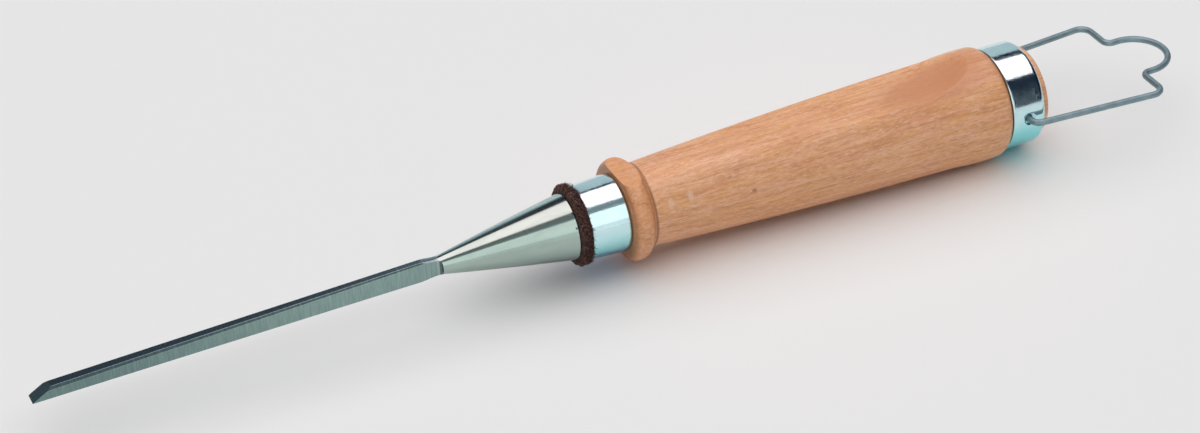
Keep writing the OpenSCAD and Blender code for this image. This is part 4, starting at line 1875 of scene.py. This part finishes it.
@dataclass
class Studio:
    """Pale floor, soft panels, and the camera at the photographed angle."""

    floor_m: float = 12.0
    floor_lines: int = 9
    floor_crease_deg: float = 30.0
    lens_mm: float = 90.0
    sensor_mm: float = 36.0
    clip_m: Span = (0.01, 50.0)
    camera_at: Place = (-0.26778, -0.60053, 0.45431)
    camera_right: Place = (0.905, -0.423, -0.048)
    camera_ahead: Place = (0.3272, 0.7631, -0.5573)
    surround: Colour = (0.012, 0.018, 0.034)
    panels: Tuple[Panel, ...] = (
        Panel("key", (0.2, 0.18, 1.12), DOWN, (1.5, 1.04), 2.05, (1, 0.8, 0.82),
              across=(0.956, -0.292, 0)),
        Panel("front", (-0.36, -0.95, 0.69), AWAY, (1.76, 0.98), 1.2, (1, 1, 0.985)),
        Panel("front_low", (-0.36, -0.95, 0.1), AWAY, (1.76, 0.2), 0.85, (0.97, 1, 1)),
        Panel("upper_front", (-0.31, -0.66, 1.1), (0, 0.5, -1), (1.7, 0.56), 0.22, (0.9, 1, 1)),
        Panel("far", (0.84, 0.95, 0.47), BACK, (1.3, 1.12), 0.58, (0.9, 0.98, 1),
              across=(-0.978, 0, 0.208)),
        Panel("far_mid", (0.085, 0.94, 0.25), BACK, (0.19, 0.48), 0.5, (0.74, 0.9, 1), LEFT),
        Panel("far_left", (-0.55, 0.95, 0.46), BACK, (1.3, 0.92), 0.1, (0.75, 0.9, 1), LEFT),
        Panel("fill", (0, 0.3, 1.6), DOWN, (4, 4), 1.24, (1, 0.985, 0.97), shine=Shine.MATTE),
        Panel("front_fill", (-0.3, -0.95, 0.6), (0, 1, -0.2), (1.8, 1), 0.23, (1, 0.985, 0.96),
              shine=Shine.MATTE),
    )

    def lay_floor(self) -> None:
        """Flat grid at z = 0."""
        edge = np.linspace(-0.5, 0.5, self.floor_lines) * self.floor_m / MM
        x, y = np.meshgrid(edge, edge, indexing="xy")
        points = np.stack([x, y, np.zeros_like(x)], axis=-1) - TOOL_TO_ROW
        made = skin("floor", [Patch(points, wrap_cols=False)], self.floor_crease_deg)
        made.data.materials.append(FloorFinish().material())

    def set_camera(self) -> None:
        """Puts the camera where the photograph was taken from."""
        lens = bpy.data.cameras.new("camera")
        lens.lens, lens.sensor_width, lens.sensor_fit = self.lens_mm, self.sensor_mm, "HORIZONTAL"
        lens.clip_start, lens.clip_end = self.clip_m
        made = bpy.data.objects.new("camera", lens)
        behind = tuple(-c for c in self.camera_ahead)
        made.matrix_world = axes(self.camera_right, behind, self.camera_at)
        bpy.context.scene.collection.objects.link(made)
        bpy.context.scene.camera = made

    def set_surround(self) -> None:
        """Dim even surround, seen as dark bands in the metal."""
        world = bpy.data.worlds.new("surround")
        bpy.context.scene.world = world
        world.use_nodes = True
        dim = world.node_tree.nodes["Background"]
        dim.inputs["Color"].default_value = (*self.surround, 1.0)

    def set_up(self) -> None:
        """Floor, camera, surround and panels."""
        bpy.context.scene.view_settings.view_transform = "Standard"
        self.lay_floor()
        self.set_camera()
        self.set_surround()
        for panel in self.panels:
            panel.hang()


def main() -> None:
    """Sets up the studio and builds every piece in order."""
    logging.basicConfig(level=logging.INFO, format="%(name)s: %(message)s")
    Studio().set_up()
    pieces = (Blade(), LeatherWasher(), FrontFerrule(), Handle(), StrikingHoop(), HangingLoop())
    for piece in pieces:
        piece.place()


if __name__ == "__main__":
    main()
